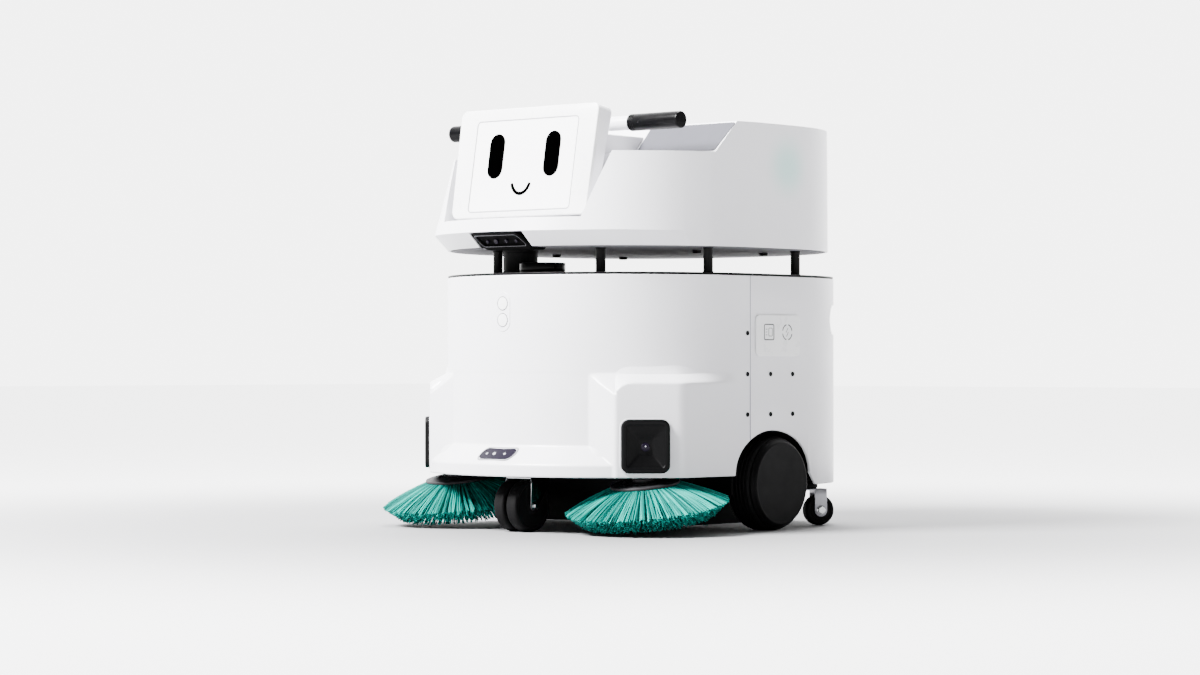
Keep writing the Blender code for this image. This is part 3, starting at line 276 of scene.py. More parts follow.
WHITE = (0.7, 0.697, 0.726)
MATERIALS = {
    "shell": surface("shell_white", WHITE, 0.34, depth=0.000012, vary=0.012, coat=0.08),
    "bezel": surface("bezel_white", (0.76, 0.76, 0.77), 0.3, depth=0.00001, vary=0.01, coat=0.1),
    "seam_grey": surface("outline_grey", (0.26, 0.26, 0.28), 0.5, specular=0.3),
    "grey": surface("grey_trim", (0.14, 0.14, 0.155), 0.55, grain=700.0, depth=0.00005, strength=0.4),
    "panel_grey": surface("panel_grey", (0.048, 0.048, 0.06), 0.5, vary=0.03, specular=0.2),
    "underside": surface("underside_grey", (0.2, 0.195, 0.215), 0.7, grain=520.0, depth=0.0001,
                         strength=0.6, vary=0.1, specular=0.2),
    "black": surface("black_plastic", (0.0016, 0.0016, 0.0018), 0.48, grain=1100.0, depth=0.00005,
                     strength=0.5, vary=0.15, edge_highlight=0.05, specular=0.05),
    "well": surface("well_black", (0.0012, 0.0012, 0.0013), 0.7, grain=600.0, depth=0.0001,
                    strength=0.5, vary=0.2, specular=0.04),
    "gloss": surface("black_gloss", (0.0009, 0.0009, 0.0011), 0.18, depth=0.000004, strength=0.1,
                     vary=0.1, spread=0.04, specular=0.05),
    "lens": surface("lens_violet", (0.004, 0.0022, 0.008), 0.08, depth=0.000002, strength=0.1,
                    spread=0.02, coat=0.02, specular=0.12),
    # Pale dot put on the side camera lenses as a painted glint.
    "painted_lens_glint": surface("painted_lens_glint", (0.62, 0.62, 0.68), 0.25),
    "post": surface("post_black", (0.0014, 0.0014, 0.0016), 0.42, grain=1400.0, depth=0.00002,
                    strength=0.4, vary=0.1, edge_highlight=0.05, specular=0.08),
    "tyre": surface("tyre_black", (0.0022, 0.0022, 0.0024), 0.66, grain=650.0, depth=0.00012,
                    strength=0.6, vary=0.25, edge_highlight=0.1, specular=0.1),
    "cap": surface("wheel_black", (0.0022, 0.0022, 0.0025), 0.46, grain=1300.0, depth=0.00003,
                   strength=0.4, vary=0.1, edge_highlight=0.06, specular=0.05),
    "grip": surface("grip_rubber", (0.0016, 0.0016, 0.0019), 0.3, grain=900.0, depth=0.00004,
                    strength=0.4, vary=0.12, specular=0.05),
    "flange": surface("flange_grey", (0.016, 0.0155, 0.017), 0.5, grain=800.0, depth=0.00006,
                      strength=0.5, vary=0.12, specular=0.15),
    "chrome": surface("fork_chrome", (0.42, 0.43, 0.44), 0.09, metallic=1.0, grain=500.0,
                      depth=0.00001, strength=0.15, spread=0.05, stretch=(1.0, 1.0, 0.05)),
    "steel": surface("bracket_steel", (0.3, 0.3, 0.32), 0.36, metallic=1.0, grain=700.0,
                     depth=0.00002, strength=0.35, vary=0.08, spread=0.08,
                     stretch=(1.0, 1.0, 0.06)),
    "motor": surface("motor_steel", (0.16, 0.16, 0.17), 0.36, metallic=1.0, grain=700.0,
                     depth=0.00002, strength=0.4, vary=0.08, stretch=(0.05, 1.0, 1.0)),
    "battery": surface("battery_case", (0.008, 0.008, 0.01), 0.55, grain=500.0, depth=0.00008,
                       specular=0.15),
    "filter": surface("filter_paper", (0.42, 0.42, 0.38), 0.92, grain=220.0, depth=0.0009,
                      strength=0.9, vary=0.08, stretch=(1.0, 0.02, 0.02)),
    "belt": surface("belt_rubber", (0.0025, 0.0025, 0.0025), 0.8, grain=400.0, depth=0.0002,
                    strength=0.7, specular=0.08),
    "button": surface("button_teal", (0.004, 0.12, 0.1), 0.3, coat=0.1),
    "bristle": bristle_material("bristle_teal", (0.0, 0.04, 0.034), (0.0, 0.34, 0.28)),
    "screen": screen_material("display_white"),
    "ink": surface("display_ink", (0.00012, 0.00012, 0.00012), 0.45, depth=0.000002, specular=0.0),
    "icon": surface("icon_grey", (0.022, 0.022, 0.026), 0.55, specular=0.1),
    "gasket": surface("gasket_lilac", (0.2, 0.19, 0.24), 0.6, grain=600.0, depth=0.00004, specular=0.2),
    # Upper shell white with a painted teal glow on its right flank, mixed into the base colour.
    "glow_shell": glow_shell_material("upper_white", WHITE, (0.3145, 0.069, 0.645), 0.078,
                                      (0.3, 0.62, 0.56)),
}


# ------------------------------------------------------------------ mesh helpers
def mesh_object(name, points, faces, smooth=32.0, recalc=True):
    mesh = bpy.data.meshes.new(name)
    mesh.from_pydata([tuple(p) for p in points], [], [tuple(f) for f in faces])
    if recalc:
        work = bmesh.new()
        work.from_mesh(mesh)
        bmesh.ops.recalc_face_normals(work, faces=work.faces[:])
        work.to_mesh(mesh)
        work.free()
    mesh.shade_smooth()
    mesh.set_sharp_from_angle(angle=math.radians(smooth))
    obj = bpy.data.objects.new(name, mesh)
    bpy.context.scene.collection.objects.link(obj)
    return obj


def loft(name, sections, loop=False, smooth=32.0):
    """Join closed sections of equal length, capping the ends unless it closes on itself."""
    count = len(sections[0])
    points = [p for section in sections for p in section]
    faces = []
    last = len(sections) if loop else len(sections) - 1
    for i in range(last):
        base = i * count
        ahead = (i + 1) % len(sections) * count
        for j in range(count):
            k = (j + 1) % count
            faces.append((base + j, base + k, ahead + k, ahead + j))
    if not loop:
        faces.append(tuple(range(count)))
        faces.append(tuple(range(last * count, (last + 1) * count)))
    return mesh_object(name, points, faces, smooth)


def prism(name, outline, low, high, plane="xy"):
    """Extruded outline: plane names the two axes of the outline, low and high the third."""
    def lift(a, b, c):
        return {"xy": (a, b, c), "yz": (c, a, b), "xz": (a, c, b)}[plane]
    return loft(name, [[lift(a, b, c) for a, b in outline] for c in (low, high)])


def soften(points, radius, steps=4, closed=False):
    """Replace the corners of a polyline by short curves that start radius away from them."""
    out = []
    count = len(points)
    for i, p in enumerate(points):
        if not closed and i in (0, count - 1):
            out.append(tuple(p))
            continue
        p = Vector(p)
        back = Vector(points[i - 1]) - p
        on = Vector(points[(i + 1) % count]) - p
        a = p + back.normalized() * min(radius, back.length * 0.45)
        b = p + on.normalized() * min(radius, on.length * 0.45)
        for j in range(steps + 1):
            t = j / steps
            out.append(tuple(a * (1 - t) ** 2 + p * (2 * t * (1 - t)) + b * t * t))
    return out


def turned(name, profile, steps=96, place=None, soft=None):
    """Solid of revolution about local Z from (radius, height) pairs; a zero radius is a pole."""
    points, faces, rows = [], [], []
    for radius, height in soften(profile, *soft) if soft else profile:
        if radius < 1e-7:
            rows.append([len(points)])
            points.append((0.0, 0.0, height))
            continue
        rows.append(list(range(len(points), len(points) + steps)))
        for i in range(steps):
            angle = math.tau * i / steps
            points.append((radius * math.cos(angle), radius * math.sin(angle), height))
    for low, high in zip(rows, rows[1:]):
        for i in range(steps):
            k = (i + 1) % steps
            if len(low) == 1 and len(high) > 1:
                faces.append((low[0], high[k], high[i]))
            elif len(high) == 1 and len(low) > 1:
                faces.append((low[i], low[k], high[0]))
            elif len(low) > 1:
                faces.append((low[i], low[k], high[k], high[i]))
    faces += [tuple(row) for row in (rows[0], rows[-1]) if len(row) > 1]
    return placed(mesh_object(name, points, faces), place)


def turned_ring(name, profile, soft, steps=96, place=None, smooth=32.0):
    """Ring about local Z from a closed (radius, height) section that stays off the axis."""
    profile = soften(profile, *soft, closed=True)
    sections = []
    for i in range(steps):
        angle = math.tau * i / steps
        sections.append([(r * math.cos(angle), r * math.sin(angle), h) for r, h in profile])
    return placed(loft(name, sections, loop=True, smooth=smooth), place)


def rim_through(name, rings):
    """Closed rim whose section runs through the given rings."""
    return loft(name, [list(column) for column in zip(*rings)], loop=True)


def placed(obj, place):
    if place is not None:
        obj.data.transform(place)
        obj.data.update()
    return obj


def rounded(half_x, half_y, corner, steps=8):
    """Corner-rounded rectangle, counter-clockwise, centred on the origin."""
    outline = []
    for quarter in range(4):
        sign_x = (1, -1, -1, 1)[quarter]
        sign_y = (1, 1, -1, -1)[quarter]
        for i in range(steps + 1):
            angle = math.radians(90 * quarter + 90 * i / steps)
            outline.append((sign_x * (half_x - corner) + corner * math.cos(angle),
                            sign_y * (half_y - corner) + corner * math.sin(angle)))
    return outline


def box(name, low, high, edge=0.001, corner=0.002):
    """Block with rounded upright edges and softened rims."""
    half_x, half_y = (high[0] - low[0]) / 2, (high[1] - low[1]) / 2
    middle = ((high[0] + low[0]) / 2, (high[1] + low[1]) / 2)
    rises = ((edge, 0.0), (edge * 0.3, edge * 0.3), (0.0, edge))
    levels = [(inset, low[2] + rise) for inset, rise in rises]
    levels += [(inset, high[2] - rise) for inset, rise in reversed(rises)]
    sections = []
    for inset, z in levels:
        ring = rounded(half_x - inset, half_y - inset, max(corner - inset, 0.0003), 5)
        sections.append([(middle[0] + x, middle[1] + y, z) for x, y in ring])
    return loft(name, sections)


def evaluated(obj):
    """Bake the modifiers into the mesh."""
    graph = bpy.context.evaluated_depsgraph_get()
    mesh = bpy.data.meshes.new_from_object(obj.evaluated_get(graph))
    obj.modifiers.clear()
    obj.data = mesh
    return obj


def cut(obj, *tools, operation="DIFFERENCE"):
    """Exact Booleans, applied; the tools are removed."""
    for tool in tools:
        modifier = obj.modifiers.new("cut", "BOOLEAN")
        modifier.operation = operation
        modifier.solver = "EXACT"
        modifier.object = tool
    evaluated(obj)
    for tool in tools:
        bpy.data.objects.remove(tool, do_unlink=True)
    return obj


def bevel(obj, width, segments=3, angle=30.0):
    """Rounded rims with even shading on the faces between them."""
    modifier = obj.modifiers.new("rims", "BEVEL")
    modifier.width = width
    modifier.segments = segments
    modifier.limit_method = "ANGLE"
    modifier.angle_limit = math.radians(angle)
    modifier.use_clamp_overlap = True
    evaluated(obj)
    obj.data.shade_smooth()
    normal = obj.modifiers.new("normals", "WEIGHTED_NORMAL")
    normal.keep_sharp = True
    return evaluated(obj)


def join(name, *pieces):
    """One object from several closed solids of the same rigid piece."""
    points, faces, slots, materials = [], [], [], []
    for piece in pieces:
        start = len(points)
        matrix = piece.matrix_world
        points += [matrix @ v.co for v in piece.data.vertices]
        faces += [tuple(start + i for i in f.vertices) for f in piece.data.polygons]
        own = piece.data.materials[0] if piece.data.materials else None
        if own not in materials:
            materials.append(own)
        slots += [materials.index(own)] * len(piece.data.polygons)
    obj = mesh_object(name, points, faces, recalc=False)
    for material in materials:
        if material:
            obj.data.materials.append(material)
    obj.data.polygons.foreach_set("material_index", slots)
    for piece in pieces:
        bpy.data.objects.remove(piece, do_unlink=True)
    return obj


def paint(obj, material):
    obj.data.materials.clear()
    obj.data.materials.append(MATERIALS[material])
    return obj


def finish(obj, body, material=None, node=None):
    """Give a piece its material, body and the CAD nodes it stands for."""
    if material:
        paint(obj, material)
    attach(obj, body)
    if node:
        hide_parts(*([node] if isinstance(node, str) else node))
    return obj


def sharpen(obj, angle):
    """Smooth shading that breaks at edges over the given angle in degrees."""
    obj.data.shade_smooth()
    obj.data.set_sharp_from_angle(angle=math.radians(angle))
    return obj


def along_x(side, origin):
    """Matrix that lays local Z along side * X at the origin."""
    return Matrix.Translation(origin) @ Matrix.Rotation(side * math.pi / 2, 4, "Y")


def middle_half(node):
    """Middle and half size of a CAD node's box, each as x, y, z."""
    low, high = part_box(node)
    return ([(a + b) / 2 for a, b in zip(low, high)], [(b - a) / 2 for a, b in zip(low, high)])


def round_node(node):
    """Low Z, high Z, radius and upright axis of a round CAD node."""
    middle, half = middle_half(node)
    return (middle[2] - half[2], middle[2] + half[2], half[0],
            Matrix.Translation((middle[0], middle[1], 0.0)))


# ------------------------------------------------------------------ body surfaces
def smooth_least(a, b, blend):
    """Smooth minimum of two distances."""
    h = max(blend - abs(a - b), 0.0) / blend
    return min(a, b) - h * h * blend / 4


def smooth_most(a, b, blend):
    return -smooth_least(-a, -b, blend)


def ramp(value, low, high):
    t = min(1.0, max(0.0, (value - low) / (high - low)))
    return t * t * (3 - 2 * t)


def plane_radius(angle, azimuth, distance):
    facing = math.cos(abs(angle) - azimuth)
    return distance / facing if facing > 0.1 else 10.0


def pod_radius(angle):
    """Radius of the corner pod: crisp front edge, soft blend into the flank."""
    crisp = smooth_least(plane_radius(angle, 0.0, POD_SIDE),
                         plane_radius(angle, POD_AZIMUTH, POD_FACE), 0.0035)
    return smooth_least(crisp, plane_radius(angle, FLANK_AZIMUTH, POD_FLANK), 0.01)


def pod_shoulder(angle):
    """Height at which the pod's roof starts to slope back to the wall."""
    if abs(angle) < POD_EDGE:
        t = max(0.0, (abs(angle) - POD_ROOT) / (POD_EDGE - POD_ROOT))
        return POD_TOP + POD_ROOT_RISE - (POD_DROP + POD_ROOT_RISE) * t
    run = POD_FACE * (math.tan(POD_AZIMUTH - POD_EDGE) - math.tan(POD_AZIMUTH - abs(angle)))
    u = max(0.0, 1 - run / POD_DROP_RUN)
    return POD_TOP - POD_DROP * (1 - math.sqrt(max(0.0, 1 - u * u)))


def front_radius(angle, z):
    """Outer radius of the front shell about the front centre."""
    wall = HALF_WIDTH
    fade = min(1.0, max(0.0, (SKIRT_FADE - z) / (SKIRT_FADE - SKIRT_TOP)))
    skirt = wall + (SKIRT_RADIUS - wall) * fade * (1.0 if abs(angle) < POD_AZIMUTH else 0.0)
    shoulder = pod_shoulder(angle)
    fade = min(1.0, max(0.0, (POD_FADE - z) / (POD_FADE - shoulder)))
    pod = wall + (pod_radius(angle) - wall) * fade
    return max(skirt, smooth_most(pod, wall, 0.0012))


def front_xy(angle, radius):
    return radius * math.sin(angle), FRONT_CENTRE_Y - radius * math.cos(angle)


def rear_xy(turn, inset=0.0, end=None, exponent=REAR_EXPONENT):
    """Point of the rear outline; turn runs from 0 on +X to pi on -X."""
    depth = (end or REAR_END) - REAR_CENTRE_Y
    power = 2 / exponent
    across, back = math.cos(turn), math.sin(turn)
    x = math.copysign(abs(across) ** power, across) * (HALF_WIDTH - inset)
    return x, REAR_CENTRE_Y + abs(back) ** power * (depth - inset)


def rear_turn(y):
    """Turn at which the rear outline reaches this Y."""
    return math.asin(((y - REAR_CENTRE_Y) / (REAR_END - REAR_CENTRE_Y)) ** (REAR_EXPONENT / 2))


def body_outline(inset, end=None, radius=None, exponent=REAR_EXPONENT, steps=96):
    radius = (radius or HALF_WIDTH) - inset
    side = HALF_WIDTH - radius
    front = [front_xy(math.radians(-90 + 180 * i / steps), radius) for i in range(steps + 1)]
    return front + [rear_xy(math.pi * i / steps, side, end, exponent) for i in range(steps + 1)]


def arch_height(y, floor):
    """Lower edge of the wall over the wheel arch at this Y."""
    half = ARCH_REAR if y > ARCH_Y else ARCH_FRONT
    u = (y - ARCH_Y) / half
    if u < -1.0:
        return floor
    if u <= 1.0:
        return max(floor, ARCH_FOOT + ARCH_HEIGHT * math.sqrt(1 - u * u))
    start = ARCH_Y + ARCH_REAR
    t = (y - start) / (ARCH_TAIL[0] - start)
    return max(floor, ARCH_FOOT + (ARCH_TAIL[1] - ARCH_FOOT) * min(t, 1.0))


def wall_section(place, radius_at, low, high, levels, inner_levels):
    """Closed section of a wall: outer face with rounded rims, then the inner face."""
    section = []
    rim = ((EDGE, 0.0), (EDGE * 0.55, EDGE * 0.12), (EDGE * 0.2, EDGE * 0.45), (0.0, EDGE))
    for inset, rise in rim:
        section.append(place(radius_at(low) - inset, low + rise))
    for i in range(1, levels):
        z = low + EDGE + (high - low - 2 * EDGE) * i / levels
        section.append(place(radius_at(z), z))
    for inset, rise in reversed(rim):
        section.append(place(radius_at(high) - inset, high - rise))
    for i in range(inner_levels + 1):
        z = high + (low - high) * i / inner_levels
        section.append(place(radius_at(z) - WALL, z))
    return section


def make_front_shell():
    seam = math.acos((FRONT_CENTRE_Y - SEAM_Y + SEAM_HALF) / HALF_WIDTH)
    foot = math.acos((FRONT_CENTRE_Y - ARCH_Y + ARCH_FRONT) / HALF_WIDTH)
    angles = [foot * i / 190 for i in range(191)]
    reach = math.acos((ARCH_Y - SEAM_Y) / ARCH_FRONT)
    for i in range(1, 25):
        y = ARCH_Y - ARCH_FRONT * math.cos(reach * i / 24)
        angles.append(min(seam, math.acos(min(1.0, (FRONT_CENTRE_Y - y) / HALF_WIDTH))))
    sections = []
    for angle in sorted({-a for a in angles} | set(angles)):
        y = front_xy(angle, HALF_WIDTH)[1]
        low = arch_height(y, FRONT_BOTTOM) if abs(angle) > foot else FRONT_BOTTOM
        sections.append(wall_section(lambda radius, z: (*front_xy(angle, radius), z),
                                     lambda z: front_radius(angle, z), low, SHELL_TOP, 150, 12))
    shell = loft("front_shell_skin", sections, smooth=45.0)
    finish(shell, "chassis", "shell", "front_shell")


def rear_stations():
    """Right half of the rear wall as (kind, parameter), from the seam to the middle."""
    reach = math.acos((ARCH_Y - SEAM_Y) / ARCH_FRONT)
    ys = [ARCH_Y - ARCH_FRONT * math.cos(reach + (math.pi / 2 - reach) * i / 24) for i in range(25)]
    ys[0] = SEAM_Y + SEAM_HALF
    ys += [ARCH_Y + ARCH_REAR * math.sin(math.pi / 2 * i / 40) for i in range(1, 41)]
    turns = [rear_turn(y) for y in ys if y > REAR_CENTRE_Y]
    last = turns[-1]
    turns += [last + (math.pi / 2 - last) * i / 70 for i in range(1, 71)]
    return [("flank", y) for y in ys if y <= REAR_CENTRE_Y] + [("rear", turn) for turn in turns]


def rear_point(kind, value, inset):
    if kind == "rear":
        return rear_xy(value, inset)
    if value >= FRONT_CENTRE_Y:
        return HALF_WIDTH - inset, value
    angle = math.acos((FRONT_CENTRE_Y - value) / HALF_WIDTH)
    return front_xy(angle, HALF_WIDTH - inset)


def rear_wall(name, levels, low_of, high):
    """Wall round the back, from seam to seam."""
    right = rear_stations()
    sections = []
    for side, stations in ((1, right), (-1, right[::-1])):
        for kind, value in stations:
            if side < 0 and kind == "rear" and value > math.pi / 2 - 1e-6:
                continue
            low = low_of(rear_point(kind, value, 0.0)[1])

            def place(radius, z):
                x, y = rear_point(kind, value, HALF_WIDTH - radius)
                return (side * x, y, z)
            sections.append(wall_section(place, lambda z: HALF_WIDTH, low, high, levels, 3))
    return loft(name, sections, smooth=45.0)


def cup_form(name, side, low, high, grow):
    """Stadium prism along the outward direction of a rear corner lifting cup."""
    x, y = rear_xy(GRIP_CUP_TURN)
    ahead = Vector(rear_xy(GRIP_CUP_TURN + 0.01)) - Vector((x, y))
    turn = math.atan2(-ahead.x, ahead.y)
    half_z = GRIP_CUP_HALF[1] + grow
    obj = prism(name, rounded(GRIP_CUP_HALF[0] + grow, half_z, half_z - 0.0001, 16), low, high, "yz")
    turn = turn if side > 0 else math.pi - turn
    return placed(obj, Matrix.Translation((side * x, y, GRIP_CUP_Z)) @ Matrix.Rotation(turn, 4, "Z"))


def make_rear_shell():
    shell = rear_wall("rear_shell_skin", 6, lambda y: arch_height(y, REAR_BOTTOM), SHELL_TOP)
    margin, lip = 0.001, 0.006
    door_low, door_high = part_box("bin_door")
    tray_low, tray_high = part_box("port_tray")
    cut(shell,
        box("door_tool", (door_low[0] - margin, 0.24, door_low[2] - margin),
            (door_high[0] + margin, 0.4, door_high[2] + margin), 0.0003, 0.0004),
        box("flap_tool", (0.29, tray_low[1] + lip, tray_low[2] + lip),
            (0.33, tray_high[1] - lip, tray_high[2] - lip), 0.0003, 0.004))
    for side in (-1, 1):
        cup = cup_form("cup", side, -GRIP_CUP_DEPTH, 0.03, 0.003)
        cut(cup, prism("cup_trim", body_outline(0.0004), 0.3, 0.44), operation="INTERSECT")
        cut(shell, cup, operation="UNION")
        cut(shell, cup_form("cup_room", side, 0.003 - GRIP_CUP_DEPTH, 0.04, 0.0))
    finish(sharpen(shell, 35), "chassis", "shell", "rear_shell")


def make_bin_door():
    low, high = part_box("bin_door")
    power = REAR_EXPONENT / 2
    edge = math.acos((high[0] / HALF_WIDTH) ** power)
    turns = [math.pi / 2 + 0.9 * (i / 48 - 0.5) * 2 for i in range(49)]
    turns = [turn for turn in turns if low[0] < rear_xy(turn)[0] < high[0]] + [edge, math.pi - edge]
    sections = []
    for turn in sorted(turns):
        sections.append(wall_section(lambda radius, z: (*rear_xy(turn, HALF_WIDTH - radius), z),
                                     lambda z: HALF_WIDTH, low[2], high[2], 6, 3))
    door = loft("bin_door_skin", sections, smooth=45.0)
    slot_z = high[2] - GRAB_SLOT_DROP
    outline = [(x, slot_z + z) for x, z in rounded(*GRAB_SLOT_HALF, GRAB_SLOT_CORNER, 10)]
    cut(door, prism("grab_tool", outline, 0.3, 0.42, "xz"))
    finish(sharpen(door, 35), "bin", "shell", "bin_door")
    sink, proud = 0.0006, 0.0016
    lip = soften([(0.0, 0.0), (0.0028, 0.0), (0.0028, proud), (0.0, proud)], 0.0006, 3, True)
    sections = []
    for x, z in rounded(*GRAB_SLOT_HALF, GRAB_SLOT_CORNER, 12):
        out = Vector((x / GRAB_SLOT_HALF[0] * 0.3, z / GRAB_SLOT_HALF[1])).normalized()
        wall = rear_xy(math.acos(math.copysign((abs(x) / HALF_WIDTH) ** power, x)))[1] - sink
        sections.append([(x + out.x * (grow - sink), wall + rise, slot_z + z + out.y * (grow - sink))
                         for grow, rise in lip])
    finish(loft("grab_slot_rim", sections, loop=True), "bin", "black")


# ------------------------------------------------------------------ deck, posts, lidar
def make_deck():
    plate = prism("deck_plate_skin", body_outline(0.0008), DECK_LOW, DECK_TOP)
    finish(bevel(plate, 0.0008, 2), "chassis", "post", "deck_plate")
    for index in range(1, 6):
        node = "deck_post_%d" % index
        low, high, radius, middle = round_node(node)
        foot = radius + 0.001
        profile = [(0.0, low), (foot, low), (foot, low + 0.0016), (radius, low + 0.0022),
                   (radius, high - 0.0022), (foot, high - 0.0016), (foot, high), (0.0, high)]
        post = turned("post_%d" % index, profile, 48, middle, (0.0008, 3))
        finish(post, "chassis", "post", node)
    low, high, radius, middle = round_node("cable_duct")
    foot, head = radius + 0.0012, radius + 0.001
    profile = [(0.0, low), (foot, low), (foot, low + 0.005), (radius, low + 0.0058),
               (radius, high - 0.005), (head, high - 0.0044), (head, high), (0.0, high)]
    duct = turned("cable_sleeve", profile, 72, middle, (0.0007, 3))
    finish(duct, "chassis", "black", "cable_duct")


def make_lidar():
    low, high, radius, middle = round_node("lidar_base")
    profile = [(0.0, low), (radius, low), (radius, high), (0.0, high)]
    base = turned("lidar_foot", profile, 96, middle, (0.0008, 3))
    finish(base, "chassis", "black", "lidar_base")
    low, high, radius, _ = round_node("lidar_rotor")
    profile = [(0.0, low), (radius, low), (radius, high - 0.0014), (radius - 0.0016, high),
               (0.012, high), (0.011, high - 0.0006), (0.0, high - 0.0006)]
    rotor = turned("lidar_turret", profile, 96, middle, (0.0008, 3))
    finish(rotor, "lidar", "gloss", "lidar_rotor")


# ------------------------------------------------------------------ upper body
def flank_xy(angle, radius, foot):
    """Front outline that runs straight from the slant's foot to the widest place."""
    x, y = front_xy(angle, radius)
    if abs(angle) > foot:
        start = front_xy(foot, radius)
        share = (y - start[1]) / (FRONT_CENTRE_Y - start[1])
        x = math.copysign(start[0] + (radius - start[0]) * share, angle)
    return x, y


def upper_rings(inset):
    foot = math.acos((FRONT_CENTRE_Y - SLANT_FOOT_Y) / UPPER_SIDE_RADIUS)
    head = math.acos((FRONT_CENTRE_Y - SLANT_HEAD_Y) / UPPER_SIDE_RADIUS)
    steps = 64
    front = [foot * (i / (steps / 2) - 1) for i in range(steps + 1)]
    front = [-math.pi / 2, -head] + front + [head, math.pi / 2]
    floor, crease, top = [], [], []
    for angle in front:
        swell = CREASE_REACH * (1 - ramp(abs(angle), math.radians(34), math.radians(70)))
        lean = ramp(abs(angle), math.radians(45), foot)
        crown = LOW_TOP_RADIUS + (UPPER_SIDE_RADIUS - LOW_TOP_RADIUS) * lean
        high = abs(angle) > (foot + head) / 2
        floor.append((*front_xy(angle, UPPER_RADIUS - inset), UPPER_FLOOR))
        crease.append((*flank_xy(angle, UPPER_RADIUS + swell - inset, foot), CREASE_Z))
        top.append((*flank_xy(angle, crown - inset, foot), (HIGH_TOP if high else LOW_TOP) - inset))
    side_inset = HALF_WIDTH - UPPER_RADIUS + inset
    crown_inset = HALF_WIDTH - UPPER_SIDE_RADIUS + inset
    end = UPPER_END + (HALF_WIDTH - UPPER_RADIUS)
    for i in range(97):
        turn = math.pi * i / 96
        wall = rear_xy(turn, side_inset, end, UPPER_REAR_EXPONENT)
        floor.append((*wall, UPPER_FLOOR))
        crease.append((*wall, CREASE_Z))
        top.append((*rear_xy(turn, crown_inset, end, UPPER_REAR_EXPONENT), HIGH_TOP - inset))
    return floor, crease, top, steps


def upper_form(name, inset=0.0, below=0.0):
    """Closed solid of the upper body, shrunk by inset, with a stepped top and a straight foot below."""
    floor, crease, top, steps = upper_rings(inset)
    count = len(floor)
    foot = [(x, y, UPPER_FLOOR - below) for x, y, _ in floor] if below else []
    points = foot + floor + crease + top
    faces = [tuple(range(count))]
    levels = len(points) // count - 1
    for level in range(levels):
        base = level * count
        for j in range(count):
            k = (j + 1) % count
            faces.append((base + j, base + k, base + count + k, base + count + j))
    crown = levels * count
    last = steps + 2
    faces.append(tuple(crown + j for j in range(2, last + 1)))
    faces.append((crown + 1, crown + 2, crown + last, crown + last + 1))
    faces.append(tuple(crown + j for j in [*range(last + 1, count), 0, 1]))
    return mesh_object(name, points, faces)


def recess_form(name, grow, back):
    slope = (RECESS_HALF_TOP - RECESS_HALF_FLOOR) / (LOW_TOP - RECESS_FLOOR)
    high = LOW_TOP + 0.02
    half_low = RECESS_HALF_FLOOR + grow
    half_high = RECESS_HALF_FLOOR + slope * (high - RECESS_FLOOR) + grow
    outline = ((-half_low, RECESS_FLOOR - grow), (half_low, RECESS_FLOOR - grow),
               (half_high, high), (-half_high, high))
    return prism(name, outline, -0.42, back + grow, "xz")


def chin_notch(name):
    return box(name, (-CHIN_HALF, -0.42, UPPER_LOW - 0.02), (CHIN_HALF, -0.285, CHIN_TOP), 0.0002, 0.0004)


def make_upper_body():
    shell = upper_form("upper_shell_skin")
    cavity = upper_form("cavity", WALL, 0.02)
    cut(cavity, recess_form("cavity_recess", WALL, RECESS_BACK_Y))
    for tool in (cavity, recess_form("recess", 0.0, RECESS_BACK_Y), chin_notch("chin")):
        cut(shell, tool)
    finish(bevel(shell, 0.0014, 3, 14.0), "chassis", "glow_shell", "upper_shell")
    end = UPPER_END + HALF_WIDTH - UPPER_RADIUS
    base = prism("upper_floor_skin", body_outline(FLOOR_INSET, end, UPPER_RADIUS, UPPER_REAR_EXPONENT),
                 UPPER_LOW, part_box("upper_base")[1][2])
    bevel(cut(base, chin_notch("chin")), 0.0006, 2)
    for material in ("underside", "post"):
        base.data.materials.append(MATERIALS[material])
    for face in base.data.polygons:
        face.material_index = 0 if face.normal.z < -0.9 else 1
    finish(base, "chassis", None, "upper_base")
    pads = []
    profile = [(0.0, -0.0055), (0.0078, -0.0055), (0.0084, 0.0), (0.0, 0.0)]
    for x, y in BUMPER_SPOTS:
        for side in (-1, 1):
            spot = Matrix.Translation((side * x, y, UPPER_LOW + 0.0002))
            pads.append(paint(turned("pad", profile, 32, spot, (0.0014, 3)), "black"))
    finish(join("floor_bumpers", *pads), "chassis")


def make_slant_panel():
    """Grey panels laid on the slope that rises to the rear block."""
    run = Vector((0.0, SLANT_HEAD_Y - SLANT_FOOT_Y, HIGH_TOP - LOW_TOP))
    length = run.length
    up = run.normalized()
    normal = Vector((0.0, -up.z, up.y))
    margin = 0.004
    near = CONSOLE_HALF + margin
    foot_half, head_half = [math.sqrt(UPPER_SIDE_RADIUS ** 2 - (FRONT_CENTRE_Y - y) ** 2)
                            for y in (SLANT_FOOT_Y, SLANT_HEAD_Y)]
    start = Vector((0.0, SLANT_FOOT_Y, LOW_TOP))
    for name, side in SIDES:
        corners = [(near, 0.003), (foot_half - margin, 0.003), (head_half - margin, length - margin),
                   (near, length - margin)]
        corners = [(side * x, along, 0.0) for x, along in corners]
        outline = soften(corners, 0.006, 5, True)
        middle = Vector((side * (near + foot_half) / 2, length / 2, 0.0))
        sections = []
        for proud, inset in ((-0.001, 1.0), (0.0006, 1.0), (0.001, 0.997)):
            ring = [middle + (Vector(p) - middle) * inset for p in outline]
            sections.append([start + Vector((q.x, 0.0, 0.0)) + up * q.y + normal * proud for q in ring])
        finish(loft("slant_panel_" + name, sections), "chassis", "panel_grey")


